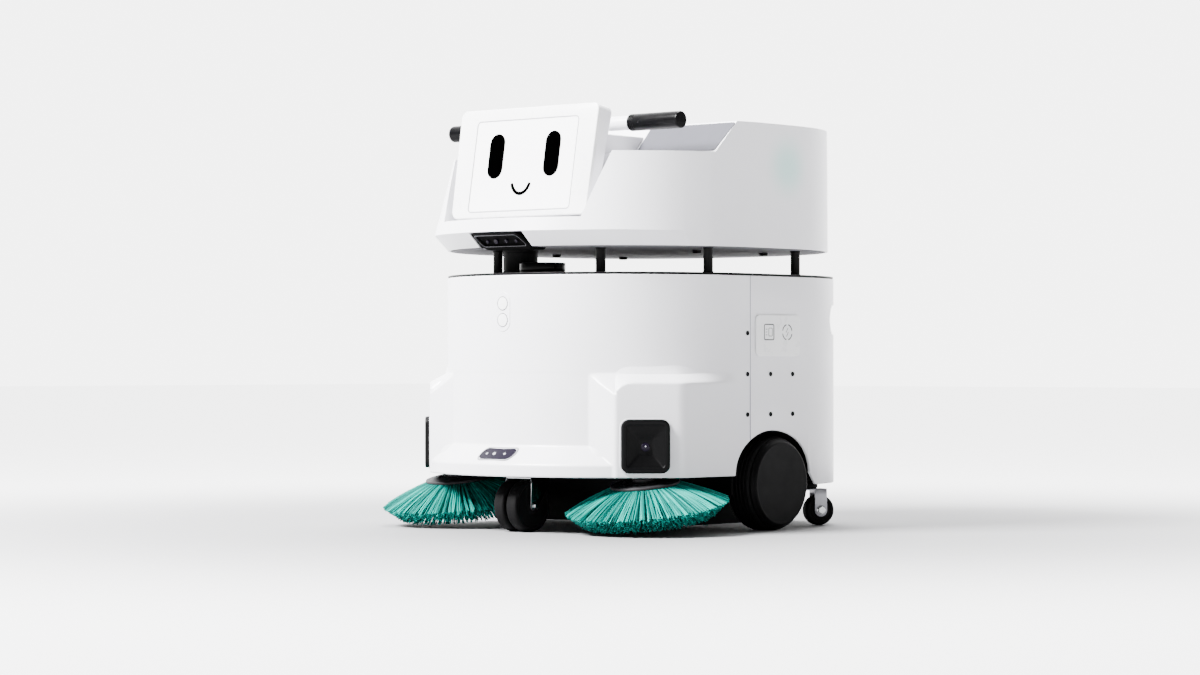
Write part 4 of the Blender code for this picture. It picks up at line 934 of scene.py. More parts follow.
def make_console():
    low, high = [p[2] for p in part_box("console_cover")]
    run = (SLANT_HEAD_Y - SLANT_FOOT_Y) / (HIGH_TOP - LOW_TOP)
    foot, head = [SLANT_FOOT_Y + run * (z - LOW_TOP) - 0.0006 for z in (low, high)]
    outline = ((head_back_y(low) + 0.0008, low), (foot, low), (head, high),
               (head_back_y(high) + 0.0008, high))
    console = prism("console_skin", outline, -CONSOLE_HALF, CONSOLE_HALF, "yz")
    finish(bevel(console, 0.0025, 4), "chassis", "shell", "console_cover")


# ------------------------------------------------------------------ head
def head_depth(up):
    middle = (HEAD_DEPTH_TOP + HEAD_DEPTH_BOTTOM) / 2
    return middle + (HEAD_DEPTH_TOP - HEAD_DEPTH_BOTTOM) * up / (2 * HEAD_HALF_HEIGHT)


def head_back_y(z):
    mean = (HEAD_DEPTH_TOP + HEAD_DEPTH_BOTTOM) / 2
    slope = (HEAD_DEPTH_TOP - HEAD_DEPTH_BOTTOM) / (2 * HEAD_HALF_HEIGHT)
    sine, cosine = math.sin(HEAD_TILT), math.cos(HEAD_TILT)
    up = (z - HEAD_CENTRE.z + mean * sine) / (cosine - slope * sine)
    return HEAD_CENTRE.y + (mean + slope * up) * cosine + up * sine


def head_ring(depth_of, inset=0.0):
    ring = []
    for x, up in rounded(HEAD_HALF_TOP - inset, HEAD_HALF_HEIGHT - inset, HEAD_CORNER - inset * 0.5, 12):
        taper = (HEAD_HALF_TOP - HEAD_HALF_BOTTOM) * (HEAD_HALF_HEIGHT - up)
        narrow = 1 - taper / (2 * HEAD_HALF_HEIGHT * HEAD_HALF_TOP)
        ring.append((x * narrow, depth_of(up), up))
    return ring


def screen_ring(grow, depth, corner=0.007):
    """Rounded outline round the screen, in head coordinates."""
    ring = rounded(SCREEN_HALF[0] + grow, SCREEN_HALF[1] + grow, corner + grow, 10)
    return [(x, depth, up - SCREEN_DROP) for x, up in ring]


def make_head():
    place = Matrix.Translation(HEAD_CENTRE) @ Matrix.Rotation(-HEAD_TILT, 4, "X")
    sections = [head_ring(lambda up: BEZEL_DEPTH)]
    for inset, depth in ((0.0, 0.0022), (0.0003, 0.00121), (0.001, 0.00044), (0.0022, 0.0)):
        sections.append(head_ring(lambda up: depth, inset))
    bezel = loft("head_bezel_skin", sections)
    cut(bezel, loft("window", [screen_ring(0.0, -0.01), screen_ring(0.0, 0.02)]))
    finish(sharpen(placed(bezel, place), 32), "chassis", "bezel", "head_bezel")
    sections = [head_ring(lambda up: BEZEL_DEPTH + 0.0003)]
    for inset, back in ((0.0, 0.0045), (0.0004, 0.0022), (0.0015, 0.0007), (0.004, 0.0)):
        sections.append(head_ring(lambda up: head_depth(up) - back, inset))
    casing = placed(loft("head_back_skin", sections), place)
    finish(casing, "chassis", "shell", "head_back")
    panel = loft("display_glass", [screen_ring(-0.0003, BEZEL_DEPTH - 0.0006),
                                   screen_ring(-0.0003, 0.0007), screen_ring(-0.0009, 0.0002)])
    finish(placed(panel, place), "chassis", "screen", "display_panel")
    corners = ((-0.0003, 0.0), (0.0012, 0.0), (0.0012, -0.0004), (-0.0003, -0.0004))
    line = rim_through("display_outline", [screen_ring(grow, depth) for grow, depth in corners])
    finish(placed(line, place), "chassis", "seam_grey")
    make_face(place)


def make_face(place):
    """Two plain oval eyes and a short smile shown on the screen."""
    depth, lift = -0.0004, 0.001
    eye_x, eye_up, eye_half = 0.0665, 0.012, (0.0178, 0.0405)
    marks = []
    for x in (-eye_x, eye_x):
        ring = rounded(*eye_half, eye_half[0] - 0.0001, 14)
        sections = [[(x + a, depth + rise, eye_up + b) for a, b in ring] for rise in (lift, 0.0)]
        marks.append(paint(loft("eye", sections), "ink"))
    radius, half, droop, smile_up = 0.022, 0.0032, 1.2, -0.031
    sections = []
    for i in range(33):
        angle = math.radians(196 + 148 * i / 32)
        centre = Vector((radius * math.cos(angle), depth, smile_up + droop * radius * math.sin(angle)))
        out = Vector((droop * math.cos(angle), 0.0, math.sin(angle))).normalized()
        thick = half * (1.0 if 0 < i < 32 else 0.6)
        sections.append([centre + out * a + Vector((0.0, b, 0.0))
                         for a, b in ((-thick, 0.0), (thick, 0.0), (thick, lift), (-thick, lift))])
    marks.append(paint(loft("smile", sections), "ink"))
    finish(placed(join("display_face", *marks), place), "chassis")


# ------------------------------------------------------------------ handle
def make_handle():
    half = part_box("handle_bar")[1][0]
    middle, size = middle_half("grip_right")
    start, end = middle[0] - size[0], middle[0] + size[0]
    y, z = middle[1:]
    radius, neck = 0.0125, 0.0095
    saddle_x, saddle_half, clamp_half, wrap = 0.06, 0.014, 0.01, 0.0022
    across = along_x(1, (0.0, y, z))
    profile = [(0.0, -half), (neck, -half), (neck, -start), (radius, -start + 0.0004),
               (radius, start - 0.0004), (neck, start), (neck, half), (0.0, half)]
    pieces = [turned("handle_tube", profile, 64, across, (0.0008, 3))]
    for x in (-saddle_x, saddle_x):
        pieces.append(box("saddle", (x - saddle_half, y - neck, CONSOLE_TOP + 0.0003),
                          (x + saddle_half, y + neck, z - 0.004), 0.001, 0.004))
        band = [(radius + 0.0002, x - clamp_half), (radius + wrap, x - clamp_half),
                (radius + wrap, x + clamp_half), (radius + 0.0002, x + clamp_half)]
        pieces.append(turned_ring("clamp", band, (0.0008, 3), 64, across))
    bar = join("handle_bar_skin", *[paint(piece, "shell") for piece in pieces])
    finish(bar, "chassis", None, "handle_bar")
    radius = size[1]
    bore, bottom = neck + 0.0003, half + 0.0006
    profile = [(0.0, bottom), (bore, bottom), (bore, start), (radius - 0.0016, start),
               (radius, start + 0.0012)]
    for i in range(3):
        x = start + 0.006 + 0.0032 * i
        profile += [(radius, x), (radius - 0.0007, x + 0.0006), (radius, x + 0.0012)]
    profile += [(radius, end - 0.004), (radius - 0.0004, end - 0.0012), (radius - 0.002, end),
                (0.0, end - 0.0002)]
    for name, side in SIDES:
        grip = turned("grip_sleeve_" + name, profile, 72, along_x(side, (0.0, y, z)), (0.0005, 2))
        finish(grip, "chassis", "grip", "grip_" + name)


# ------------------------------------------------------------------ sensors
def make_side_cameras():
    """Recessed square pyramid in a rounded housing, with a small round lens at its bottom and a pale dot
    on the lens painted as its glint.
    """
    well_half, well_drop, height = 0.033, 0.0012, 0.153
    along, reach = 0.004, POD_FACE + 0.0003

    def ring(half_x, half_z, corner, proud):
        drop = well_drop if half_x < well_half else 0.0
        return [(a, -proud, b - drop) for a, b in rounded(half_x, half_z, corner, 10)]
    sine, cosine = math.sin(POD_AZIMUTH), math.cos(POD_AZIMUTH)
    x = reach * sine + along * cosine
    y = FRONT_CENTRE_Y - reach * cosine + along * sine
    body = ((0.042, 0.046, 0.014, 0.0), (0.042, 0.046, 0.014, 0.0066),
            (0.0415, 0.0455, 0.0137, 0.008), (0.0402, 0.0442, 0.0128, 0.0088),
            (0.038, 0.042, 0.011, 0.009), (0.0345, 0.0378, 0.007, 0.009),
            (0.0338, 0.0371, 0.0064, 0.0087), (0.0332, 0.0364, 0.006, 0.0078),
            (0.032, 0.0352, 0.0055, 0.0074), (0.0125, 0.0135, 0.003, 0.0022),
            (0.0118, 0.0128, 0.0026, 0.0018))
    rim = ((0.0424, 0.0464, 0.0143, 0.0), (0.0424, 0.0464, 0.0143, 0.0009),
           (0.044, 0.048, 0.0156, 0.0009), (0.0444, 0.0484, 0.016, 0.0))
    glass = [(0.0, 0.0), (0.0075, 0.0), (0.0075, 0.0018), (0.006, 0.0026), (0.0048, 0.0022),
             (0.0, 0.0034)]
    # Painted glint: a small pale dot set in front of the lens.
    painted_glint = [(0.0, 0.0), (0.0011, 0.0), (0.0007, 0.0006), (0.0, 0.0008)]
    outward = Matrix.Rotation(math.pi / 2, 4, "X")
    for name, side in SIDES:
        place = Matrix.Translation((side * x, y, height)) @ Matrix.Rotation(side * POD_AZIMUTH, 4, "Z")
        housing = placed(loft("housing", [ring(*row) for row in body], smooth=20.0), place)
        lens_at = place @ Matrix.Translation((0.0, -0.0016, -0.0012)) @ outward
        painted_glint_at = place @ Matrix.Translation((0.0, -0.0046, 0.0002)) @ outward
        camera = join("side_camera_body_" + name, paint(housing, "post"),
                      paint(turned("lens", glass, 48, lens_at, (0.0005, 3)), "lens"),
                      paint(turned("dot", painted_glint, 20, painted_glint_at), "painted_lens_glint"))
        finish(camera, "chassis", None, "side_camera_" + name)
        frame_rim = placed(rim_through("camera_rim_" + name, [ring(*row) for row in rim]), place)
        finish(frame_rim, "chassis", "shell")


def facing_out(spot, lift):
    """Matrix at a spot on the front wall, with local Z outward and tipped by lift."""
    facing = Vector((spot[0], spot[1] - FRONT_CENTRE_Y, lift)).normalized()
    return Matrix.Translation(spot) @ facing.to_track_quat("Z", "Y").to_matrix().to_4x4()


def make_lower_camera():
    """Slanted stadium window lying on the skirt's slope, with three small lenses."""
    (_, _, middle), (reach_x, _, half_z) = middle_half("lower_camera")
    half_x = reach_x - 0.003
    slant, border = 0.45, 0.0028

    def on_skirt(x, z, proud):
        angle = math.asin(x / (front_radius(0.0, z) + proud))
        return (*front_xy(angle, front_radius(0.0, z) + proud), z)

    def stadium(shrink, proud):
        ring = rounded(half_x - shrink, half_z - shrink, half_z - shrink - 0.0001, 14)
        return [on_skirt(x + slant * z, middle + z, proud) for x, z in ring]
    columns, rows = 24, 7
    points, faces = [], []
    inner = half_z - border
    flat = half_x - border - inner
    for i in range(columns + 1):
        for j in range(rows + 1):
            z = inner * (2 * j / rows - 1)
            side = math.sqrt(max(0.0, inner ** 2 - z ** 2))
            x = (flat + side) * (2 * i / columns - 1)
            points.append(on_skirt(x + slant * z, middle + z, 0.0015))
    for i in range(columns):
        for j in range(rows):
            a = i * (rows + 1) + j
            faces.append((a, a + 1, a + rows + 2, a + rows + 1))
    count = len(points)
    points += [(x, y + 0.004, z) for x, y, z in points]
    faces += [tuple(reversed([count + k for k in face])) for face in faces]
    rim = [i * (rows + 1) for i in range(columns + 1)]
    rim += [columns * (rows + 1) + j for j in range(1, rows + 1)]
    rim += [i * (rows + 1) + rows for i in range(columns - 1, -1, -1)]
    rim += list(range(rows - 1, 0, -1))
    faces += [(a, b, count + b, count + a) for a, b in zip(rim, rim[1:] + rim[:1])]
    pieces = [paint(mesh_object("window", points, faces, 50.0), "lens")]
    for x, size in ((-0.024, 0.0026), (-0.006, 0.0034), (0.018, 0.0026)):
        profile = [(0.0, -0.001), (size, -0.001), (size, 0.0004), (size * 0.7, 0.0007), (0.0, 0.0004)]
        spot = facing_out(on_skirt(x, middle, 0.0014), 0.3)
        pieces.append(paint(turned("lens", profile, 32, spot, (0.0003, 2)), "seam_grey"))
    finish(join("lower_camera_glass", *pieces), "chassis", None, "lower_camera")
    # The pale rim is given the grey outline material: painted shade for the grey shadow line round it.
    rings = [stadium(*row) for row in ((0.0021, -0.001), (0.0021, 0.0019), (0.001, 0.0023),
                                       (0.0002, 0.0016), (0.0, -0.001))]
    finish(rim_through("lower_camera_rim", rings), "chassis", "seam_grey")


def make_chin_camera():
    """Black housing under the head with a bright-rimmed window and lenses behind it."""
    low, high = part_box("chin_camera")
    middle = (low[2] + high[2]) / 2
    half_z = (high[2] - low[2]) / 2
    lean = 0.45

    def on_chin(x, z, proud):
        rise = (z - UPPER_FLOOR) / (CREASE_Z - UPPER_FLOOR)
        radius = UPPER_RADIUS + CREASE_REACH * rise + proud
        return (x, FRONT_CENTRE_Y - math.sqrt(radius * radius - x * x), z)

    def ring(grow, proud):
        outline = rounded(high[0] - 0.005 + grow, half_z + grow, 0.009 + grow * 0.6, 10)
        return [on_chin(min(max(x - lean * z, low[0]), high[0]), middle + z, proud) for x, z in outline]
    rings = [[(x, -0.291, z) for x, _, z in ring(0.0, 0.0)]]
    rings += [ring(*row) for row in ((0.0, 0.0), (-0.0008, 0.0016), (-0.0052, 0.0016),
                                     (-0.006, -0.006), (-0.0064, -0.0064))]
    rim = [ring(*row) for row in ((-0.005, 0.0014), (-0.005, 0.002), (-0.0056, 0.0019),
                                  (-0.0058, -0.003))]
    pieces = [paint(loft("housing", rings), "well"), paint(rim_through("rim", rim), "motor")]
    for x, size in ((-0.034, 0.0034), (-0.012, 0.0044), (0.012, 0.0034), (0.034, 0.003)):
        profile = [(0.0, -0.002), (size, -0.002), (size, 0.0016), (size * 0.75, 0.002),
                   (size * 0.6, 0.0012), (0.0, 0.0022)]
        spot = facing_out(on_chin(x, middle, -0.0058), -0.15)
        pieces.append(paint(turned("lens", profile, 40, spot, (0.0004, 3)), "lens"))
    finish(join("chin_camera_module", *pieces), "chassis", None, "chin_camera")


def make_sonar():
    (_, _, middle), (half_x, _, half_z) = middle_half("sonar_pair")
    pitch = 0.0145

    def ring(grow, proud):
        outline = rounded(half_x + grow, half_z + grow, half_x + grow - 0.0004, 16)
        return [(x, FRONT_CENTRE_Y - math.sqrt((HALF_WIDTH + proud) ** 2 - x * x), middle + z)
                for x, z in outline]
    plate = loft("sonar_plate", [ring(0.0, 0.0002), ring(0.0, 0.0007), ring(-0.0006, 0.0011)])
    pieces = [paint(plate, "shell")]
    band = [(0.0112, 0.0009), (0.0122, 0.0009), (0.0122, 0.0015), (0.0112, 0.0015)]
    disc = [(0.0, 0.0009), (0.011, 0.0009), (0.011, 0.0014), (0.0, 0.0016)]
    for z in (-pitch, pitch):
        place = Matrix.Translation((0.0, FRONT_CENTRE_Y - HALF_WIDTH, middle + z))
        place = place @ Matrix.Rotation(math.pi / 2, 4, "X")
        pieces.append(paint(turned_ring("ring", band, (0.0003, 2), 64, place), "panel_grey"))
        pieces.append(paint(turned("disc", disc, 64, place, (0.0004, 2)), "bezel"))
    finish(join("sonar_discs", *pieces), "chassis", None, "sonar_pair")


# ------------------------------------------------------------------ flank details
def make_screws():
    """Black socket screws in the flanks, each in a shallow white collar."""
    spots = [(SCREW_Y[0], TOP_SCREW_Z)] + [(y, z) for y in SCREW_Y for z in SCREW_Z]
    collar = [(0.0042, 0.0), (0.0053, 0.0), (0.005, 0.0005), (0.0043, 0.0005)]
    screw = [(0.0, 0.0), (0.0042, 0.0), (0.0042, 0.0016), (0.0024, 0.002), (0.0022, 0.001), (0.0, 0.0009)]
    for name, side in SIDES:
        pieces = []
        for y, z in spots:
            if y < SEAM_Y:
                x = HALF_WIDTH * math.sin(math.acos((FRONT_CENTRE_Y - y) / HALF_WIDTH))
            else:
                x = rear_xy(rear_turn(y))[0] if y > REAR_CENTRE_Y else HALF_WIDTH
            place = along_x(side, (side * (x - 0.0004), y, z))
            pieces.append(paint(turned_ring("collar", collar, (0.0002, 2), 32, place), "shell"))
            pieces.append(paint(turned("screw", screw, 24, place, (0.0002, 2)), "black"))
        finish(join("flank_screws_" + name, *pieces), "chassis")


def make_gasket():
    """Thin strips in the joint line between the front and the rear shell."""
    reach = math.sqrt(HALF_WIDTH ** 2 - (FRONT_CENTRE_Y - SEAM_Y) ** 2)
    low = arch_height(SEAM_Y, REAR_BOTTOM) + 0.001
    half = 0.0009
    for name, side in SIDES:
        near, far = sorted((side * (reach - 0.003), side * (reach + 0.0005)))
        strip = box("seam_gasket_" + name, (near, SEAM_Y - half, low),
                    (far, SEAM_Y + half, SHELL_TOP - 0.001), 0.0002, 0.0004)
        finish(strip, "chassis", "gasket")


def make_flap():
    low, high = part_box("service_flap")
    (_, mid_y, mid_z), (_, half_y, half_z) = middle_half("service_flap")
    sections = []
    for x, inset in ((low[0], 0.0008), (low[0] + 0.0004, 0.0), (high[0] - 0.0011, 0.0),
                     (high[0] - 0.0005, 0.0003), (high[0] - 0.0001, 0.001), (high[0], 0.0022)):
        ring = rounded(half_y - inset, half_z - inset, 0.01 - inset * 0.6, 10)
        sections.append([(x, mid_y + y, mid_z + z) for y, z in ring])
    pieces = [paint(loft("door", sections), "bezel")]
    face, thick = high[0] + 0.0003, 0.0005
    bold, fine = 0.0018, 0.0009

    def stroke(points, width, closed=False):
        path = [Vector(p) for p in points]
        last = len(path) - 1
        sections = []
        for i, p in enumerate(path):
            back = path[i - 1] if i or closed else p
            on = path[(i + 1) % len(path)] if i < last or closed else p
            along = (on - back).normalized()
            side = Vector((-along.y, along.x)) * width / 2
            section = []
            for offset, depth in ((-1, 0.0), (1, 0.0), (1, -thick), (-1, -thick)):
                q = p + side * offset
                section.append((face + depth, mid_y + q.x, mid_z + 0.006 + q.y))
            sections.append(section)
        pieces.append(paint(loft("mark", sections, loop=closed), "icon"))
    card_y, bolt_y, size = -0.027, 0.025, 0.0135
    stroke([(card_y + a, b) for a, b in rounded(size, size, 0.003, 4)], bold, True)
    stroke([(card_y + 0.004 + a, b) for a, b in rounded(0.005, 0.007, 0.0015, 3)], fine, True)
    for b in (-0.005, 0.0, 0.005):
        stroke([(card_y - 0.0095, b), (card_y - 0.005, b)], fine)
    for quarter in range(4):
        turns = [math.radians(90 * quarter + 12 + 66 * i / 8) for i in range(9)]
        stroke([(bolt_y + size * math.cos(turn), size * math.sin(turn)) for turn in turns], bold)
    bolt = ((0.002, 0.0075), (-0.0035, -0.0005), (0.003, 0.0005), (-0.002, -0.0075))
    stroke([(bolt_y + a, b) for a, b in bolt], 0.001)
    finish(join("service_flap_skin", *pieces), "flap", None, "service_flap")


# ------------------------------------------------------------------ wheels and casters
def make_drive_wheels():
    low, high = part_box("drive_tyre_right")
    start, end = low[0], high[0]
    radius = (high[2] - low[2]) / 2
    inner = 0.0603
    flank = ((0.012, 0.0), (0.01, 0.0006), (0.004, 0.0018), (0.0008, 0.005))
    tread = [(inner, start)] + [(radius - drop, start + rise) for drop, rise in flank]
    for i in range(5):
        x = start + 0.01 + (end - start - 0.02) * i / 4
        tread += [(radius, x - 0.0018), (radius - 0.0014, x - 0.001), (radius - 0.0014, x + 0.001),
                  (radius, x + 0.0018)]
    tread += [(radius - drop, end - rise) for drop, rise in reversed(flank)] + [(inner, end)]
    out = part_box("drive_hub_right")[1][0]
    step = end + 0.0003
    cap = [(0.0, 0.293), (0.0086, 0.293), (0.0086, start + 0.001), (0.04, start + 0.001),
           (0.06, start + 0.004), (0.06, step), (0.079, step), (0.079, step + 0.0018),
           (0.0772, step + 0.0034), (0.0735, out - 0.001), (0.0715, out), (0.069, out - 0.0003),
           (0.0, out - 0.0003)]
    for name, side in SIDES:
        centre = JOINTS["drive_spin_" + name]["pos_m"]
        place = along_x(side, (0.0, centre[1], centre[2]))
        tyre = turned_ring("tyre_tread_" + name, tread, (0.0006, 2), 160, place, 40.0)
        finish(tyre, "drive_wheel_" + name, "tyre", "drive_tyre_" + name)
        hub = turned("wheel_cap_" + name, cap, 160, place, (0.0009, 3))
        finish(hub, "drive_wheel_" + name, "cap", "drive_hub_" + name)


def leg_outline(axle, radius, top, front, rear, steps=14):
    """Fork leg in the YZ plane: round end about the axle, straight sides up to the top."""
    turns = [math.radians(180 + 180 * i / steps) for i in range(steps + 1)]
    points = [(axle[0] + radius * math.cos(turn), axle[1] + radius * math.sin(turn)) for turn in turns]
    return points + [(rear, top - 0.012), (rear, top), (front, top), (front, top - 0.012)]


def hex_bolt(radius, height, place, washer=1.5):
    """Hexagon head with a chamfered top on a round washer."""
    seat = height * 0.3
    profile = [(0.0, 0.0), (radius * washer, 0.0), (radius * washer, seat), (0.0, seat)]
    sections = []
    for z, grow in ((seat, 1.0), (height * 0.85, 1.0), (height, 0.88)):
        size = radius * grow
        sections.append([(size * math.cos(math.tau * i / 6), size * math.sin(math.tau * i / 6), z)
                         for i in range(6)])
    return [turned("washer", profile, 40, place, (height * 0.1, 2)),
            placed(loft("head", sections, smooth=20.0), place)]


def make_front_caster():
    roll = Vector(JOINTS["front_caster_roll"]["pos_m"])
    pivot = Vector(JOINTS["front_caster_swivel"]["pos_m"])
    low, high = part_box("front_caster_fork")
    outer, front, rear = high[0], low[1] + 0.001, pivot.y + 0.02
    thick = 0.0028
    plate_z = high[2] - 0.0032
    outline = leg_outline((roll.y, roll.z), 0.0102, plate_z, front, rear)
    pieces = []
    for side in (-1, 1):
        near, far = sorted((side * outer, side * (outer - thick)))
        pieces.append(bevel(prism("leg", outline, near, far, "yz"), 0.0007, 2))
        pieces += hex_bolt(0.005, 0.0042, along_x(side, (side * outer, roll.y, roll.z)))
    pieces.append(box("plate", (-outer, front, plate_z - 0.0035), (outer, rear, plate_z), 0.0006, 0.003))
    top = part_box("base_plate")[0][2] - 0.0003
    profile = [(0.0, plate_z - 0.001), (0.02, plate_z - 0.001), (0.02, plate_z + 0.0012),
               (0.0184, plate_z + 0.0018), (0.0184, top), (0.0, top)]
    stem = turned("stem", profile, 64, Matrix.Translation((pivot.x, pivot.y, 0.0)), (0.0005, 2))
    pieces = [paint(piece, "chrome") for piece in pieces] + [paint(stem, "steel")]
    finish(join("front_fork", *pieces), "front_caster", None, "front_caster_fork")
    radius, near, far = roll.z, 0.003, 0.0265
    profile = [(0.0, near), (radius - 0.0042, near), (radius - 0.0012, near + 0.0014),
               (radius, near + 0.004), (radius, far - 0.0045),
               (radius - 0.0012, far - 0.0014), (radius - 0.004, far),
               (radius - 0.0075, far), (radius - 0.0085, far - 0.001), (0.014, far - 0.001),
               (0.0125, far), (0.0, far)]
    wheels = [paint(turned("wheel", profile, 96, along_x(side, roll), (0.0012, 3)), "tyre")
              for side in (-1, 1)]
    axle = [(0.0, -0.0278), (0.006, -0.0278), (0.006, 0.0278), (0.0, 0.0278)]
    wheels.append(paint(turned("axle", axle, 32, along_x(1, roll)), "steel"))
    finish(join("front_wheels", *wheels), "front_caster_roller", None,
           "front_caster_wheels")


def make_rear_casters():
    inner, thick, top = 0.0122, 0.0022, 0.067
    outer = inner + thick
    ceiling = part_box("base_plate")[0][2] - 0.0003
    stem = [(0.0, top - 0.001), (0.014, top - 0.001), (0.0185, top + 0.0025), (0.0185, 0.0768),
            (0.015, 0.078), (0.015, 0.0796), (0.018, 0.0812), (0.018, 0.087), (0.0155, 0.0885),
            (0.0155, ceiling), (0.0, ceiling)]
    for name, _ in SIDES:
        pivot = Vector(JOINTS["rear_caster_swivel_" + name]["pos_m"])
        roll = Vector(JOINTS["rear_caster_roll_" + name]["pos_m"])
        axis = Vector(JOINTS["rear_caster_roll_" + name]["axis"])
        turn = Matrix.Rotation(math.atan2(axis.y, axis.x), 4, "Z")
        upright = Matrix.Translation((pivot.x, pivot.y, 0.0))
        local = upright @ turn
        trail = (local.inverted() @ Vector((roll.x, roll.y, 0.0))).y
        sign, reach, radius = math.copysign(1.0, trail), abs(trail), roll.z
        outline = leg_outline((reach, radius), 0.0122, top, reach - 0.0118, reach + 0.0116)
        outline = [(sign * y, z) for y, z in outline]
        pieces = []
        for flank in (-1, 1):
            leg = prism("leg", outline, *sorted((flank * inner, flank * outer)), "yz")
            pieces.append(paint(placed(bevel(leg, 0.0006, 2), local), "steel"))
            place = local @ along_x(flank, (flank * outer, sign * reach, radius))
            pieces += [paint(piece, "chrome") for piece in hex_bolt(0.0072, 0.0046, place, 1.2)]
        near, far = sorted((sign * (reach + 0.0116), sign * -0.016))
        plate = box("plate", (-outer, near, top - 0.003), (outer, far, top), 0.0005, 0.002)
        near, far = sorted((sign * (reach - 0.0118), sign * (reach - 0.0096)))
        web = box("web", (-outer + 0.0002, near, radius + 0.0305), (outer - 0.0002, far, top - 0.001),
                  0.0005, 0.0008)
        pieces += [paint(placed(piece, local), "steel") for piece in (plate, web)]
        pieces.append(paint(turned("stem", stem, 56, upright, (0.0006, 2)), "black"))
        finish(join("rear_fork_" + name, *pieces), "rear_caster_" + name, None,
               "rear_caster_fork_" + name)
        half = [(0.0, 0.0118), (0.007, 0.0118), (0.0074, 0.0105), (0.018, 0.0105), (0.0186, 0.0098),
                (0.0196, 0.0098), (0.0204, 0.0105), (radius - 0.003, 0.0105), (radius - 0.0006, 0.0082),
                (radius, 0.005)]
        profile = [(r, -h) for r, h in half] + half[::-1]
        axle = Matrix.Translation(roll) @ turn @ Matrix.Rotation(math.pi / 2, 4, "Y")
        wheel = turned("rear_wheel_" + name, profile, 80, axle, (0.0007, 2))
        finish(wheel, "rear_caster_roller_" + name, "tyre", "rear_caster_wheel_" + name)


# ------------------------------------------------------------------ brushes
def strands(name, paths, radius, sides, tones):
    """Thin tapered rods along the given point lists, with their tone stored on the mesh."""
    points, faces, tone = [], [], []
    for index, path in enumerate(paths):
        path = [Vector(p) for p in path]
        start, last = len(points), len(path) - 1
        for i, p in enumerate(path):
            along = (path[min(i + 1, last)] - path[max(i - 1, 0)]).normalized()
            across = along.orthogonal().normalized()
            other = along.cross(across)
            size = radius * (0.82 + 0.25 * i / last)
            for j in range(sides):
                angle = math.tau * (j + 0.5 * (index % 2)) / sides
                points.append(p + (across * math.cos(angle) + other * math.sin(angle)) * size)
                # Second channel: place along the strand, which the bristle material uses for painted
                # shade at the root.
                tone.append((tones[index], i / last, 0.0, 1.0))
        for base in range(start, start + last * sides, sides):
            for j in range(sides):
                k = (j + 1) % sides
                faces.append((base + j, base + k, base + sides + k, base + sides + j))
        faces.append(tuple(start + j for j in reversed(range(sides))))
        faces.append(tuple(start + last * sides + j for j in range(sides)))
    obj = mesh_object(name, points, faces, smooth=50.0, recalc=False)
    colours = obj.data.color_attributes.new("strand", "FLOAT_COLOR", "POINT")
    colours.data.foreach_set("color", np.array(tone, np.float32).ravel())
    return obj


def make_side_brushes():
    rows = 10
    flange = [(0.0, 0.0084), (0.02, 0.0084), (0.02, 0.003), (0.056, 0.0004), (0.061, -0.001),
              (0.0612, -0.0046), (0.0585, -0.008), (0.034, -0.0165), (0.03, -0.018), (0.0, -0.018)]
    can = [(0.0, 0.009), (0.0215, 0.009), (0.0215, 0.02), (0.027, 0.021), (0.027, 0.086), (0.0, 0.086)]
    for index, (name, _) in enumerate(SIDES):
        entry = JOINTS["side_brush_spin_" + name]
        tilt = Vector(entry["axis"]).to_track_quat("Z", "Y").to_matrix().to_4x4()
        place = Matrix.Translation(entry["pos_m"]) @ tilt
        rng = random.Random(40 + index)
        paths, tones = [], []
        for row in range(rows):
            share = row / (rows - 1)
            root_r, root_z = 0.036 + 0.0215 * share, -0.0125 + 0.0075 * share
            tip_r, tip_z = 0.112 + 0.03 * share, -0.069 + 0.0255 * share
            count = 165 + 10 * row
            for i in range(count):
                turn = math.tau * (i + 0.5 * (row % 2)) / count + rng.uniform(-0.018, 0.018)
                bend = rng.uniform(-0.035, 0.035)
                reach = tip_r + rng.uniform(-0.003, 0.0015)
                drop = tip_z + rng.uniform(-0.001, 0.0016)
                path = []
                for t in (0.0, 0.25, 0.5, 0.75, 1.0):
                    r = root_r + (reach - root_r) * (t + 0.1 * t * (1 - t))
                    z = root_z + (drop - root_z) * (t - 0.16 * t * (1 - t))
                    a = turn + bend * t
                    path.append((r * math.cos(a), r * math.sin(a), z))
                paths.append(path)
                tones.append(rng.random())
        tuft = placed(strands("bristles_" + name, paths, 0.00105, 5, tones), place)
        finish(tuft, "sweeper_" + name, "bristle", "side_brush_" + name)
        pieces = [paint(turned("flange", flange, 96, place, (0.0012, 3)), "flange")]
        for i in range(4):
            spot = Matrix.Rotation(math.tau * (i + 0.5) / 4, 4, "Z")
            spot = spot @ Matrix.Translation((0.034, 0.0, 0.0018))
            pieces += [paint(piece, "black") for piece in hex_bolt(0.003, 0.0032, place @ spot)]
        finish(join("brush_plate_" + name, *pieces), "sweeper_" + name)
        motor = turned("can", can, 64, place, (0.001, 3))
        finish(motor, "chassis", "black", "side_brush_motor_" + name)


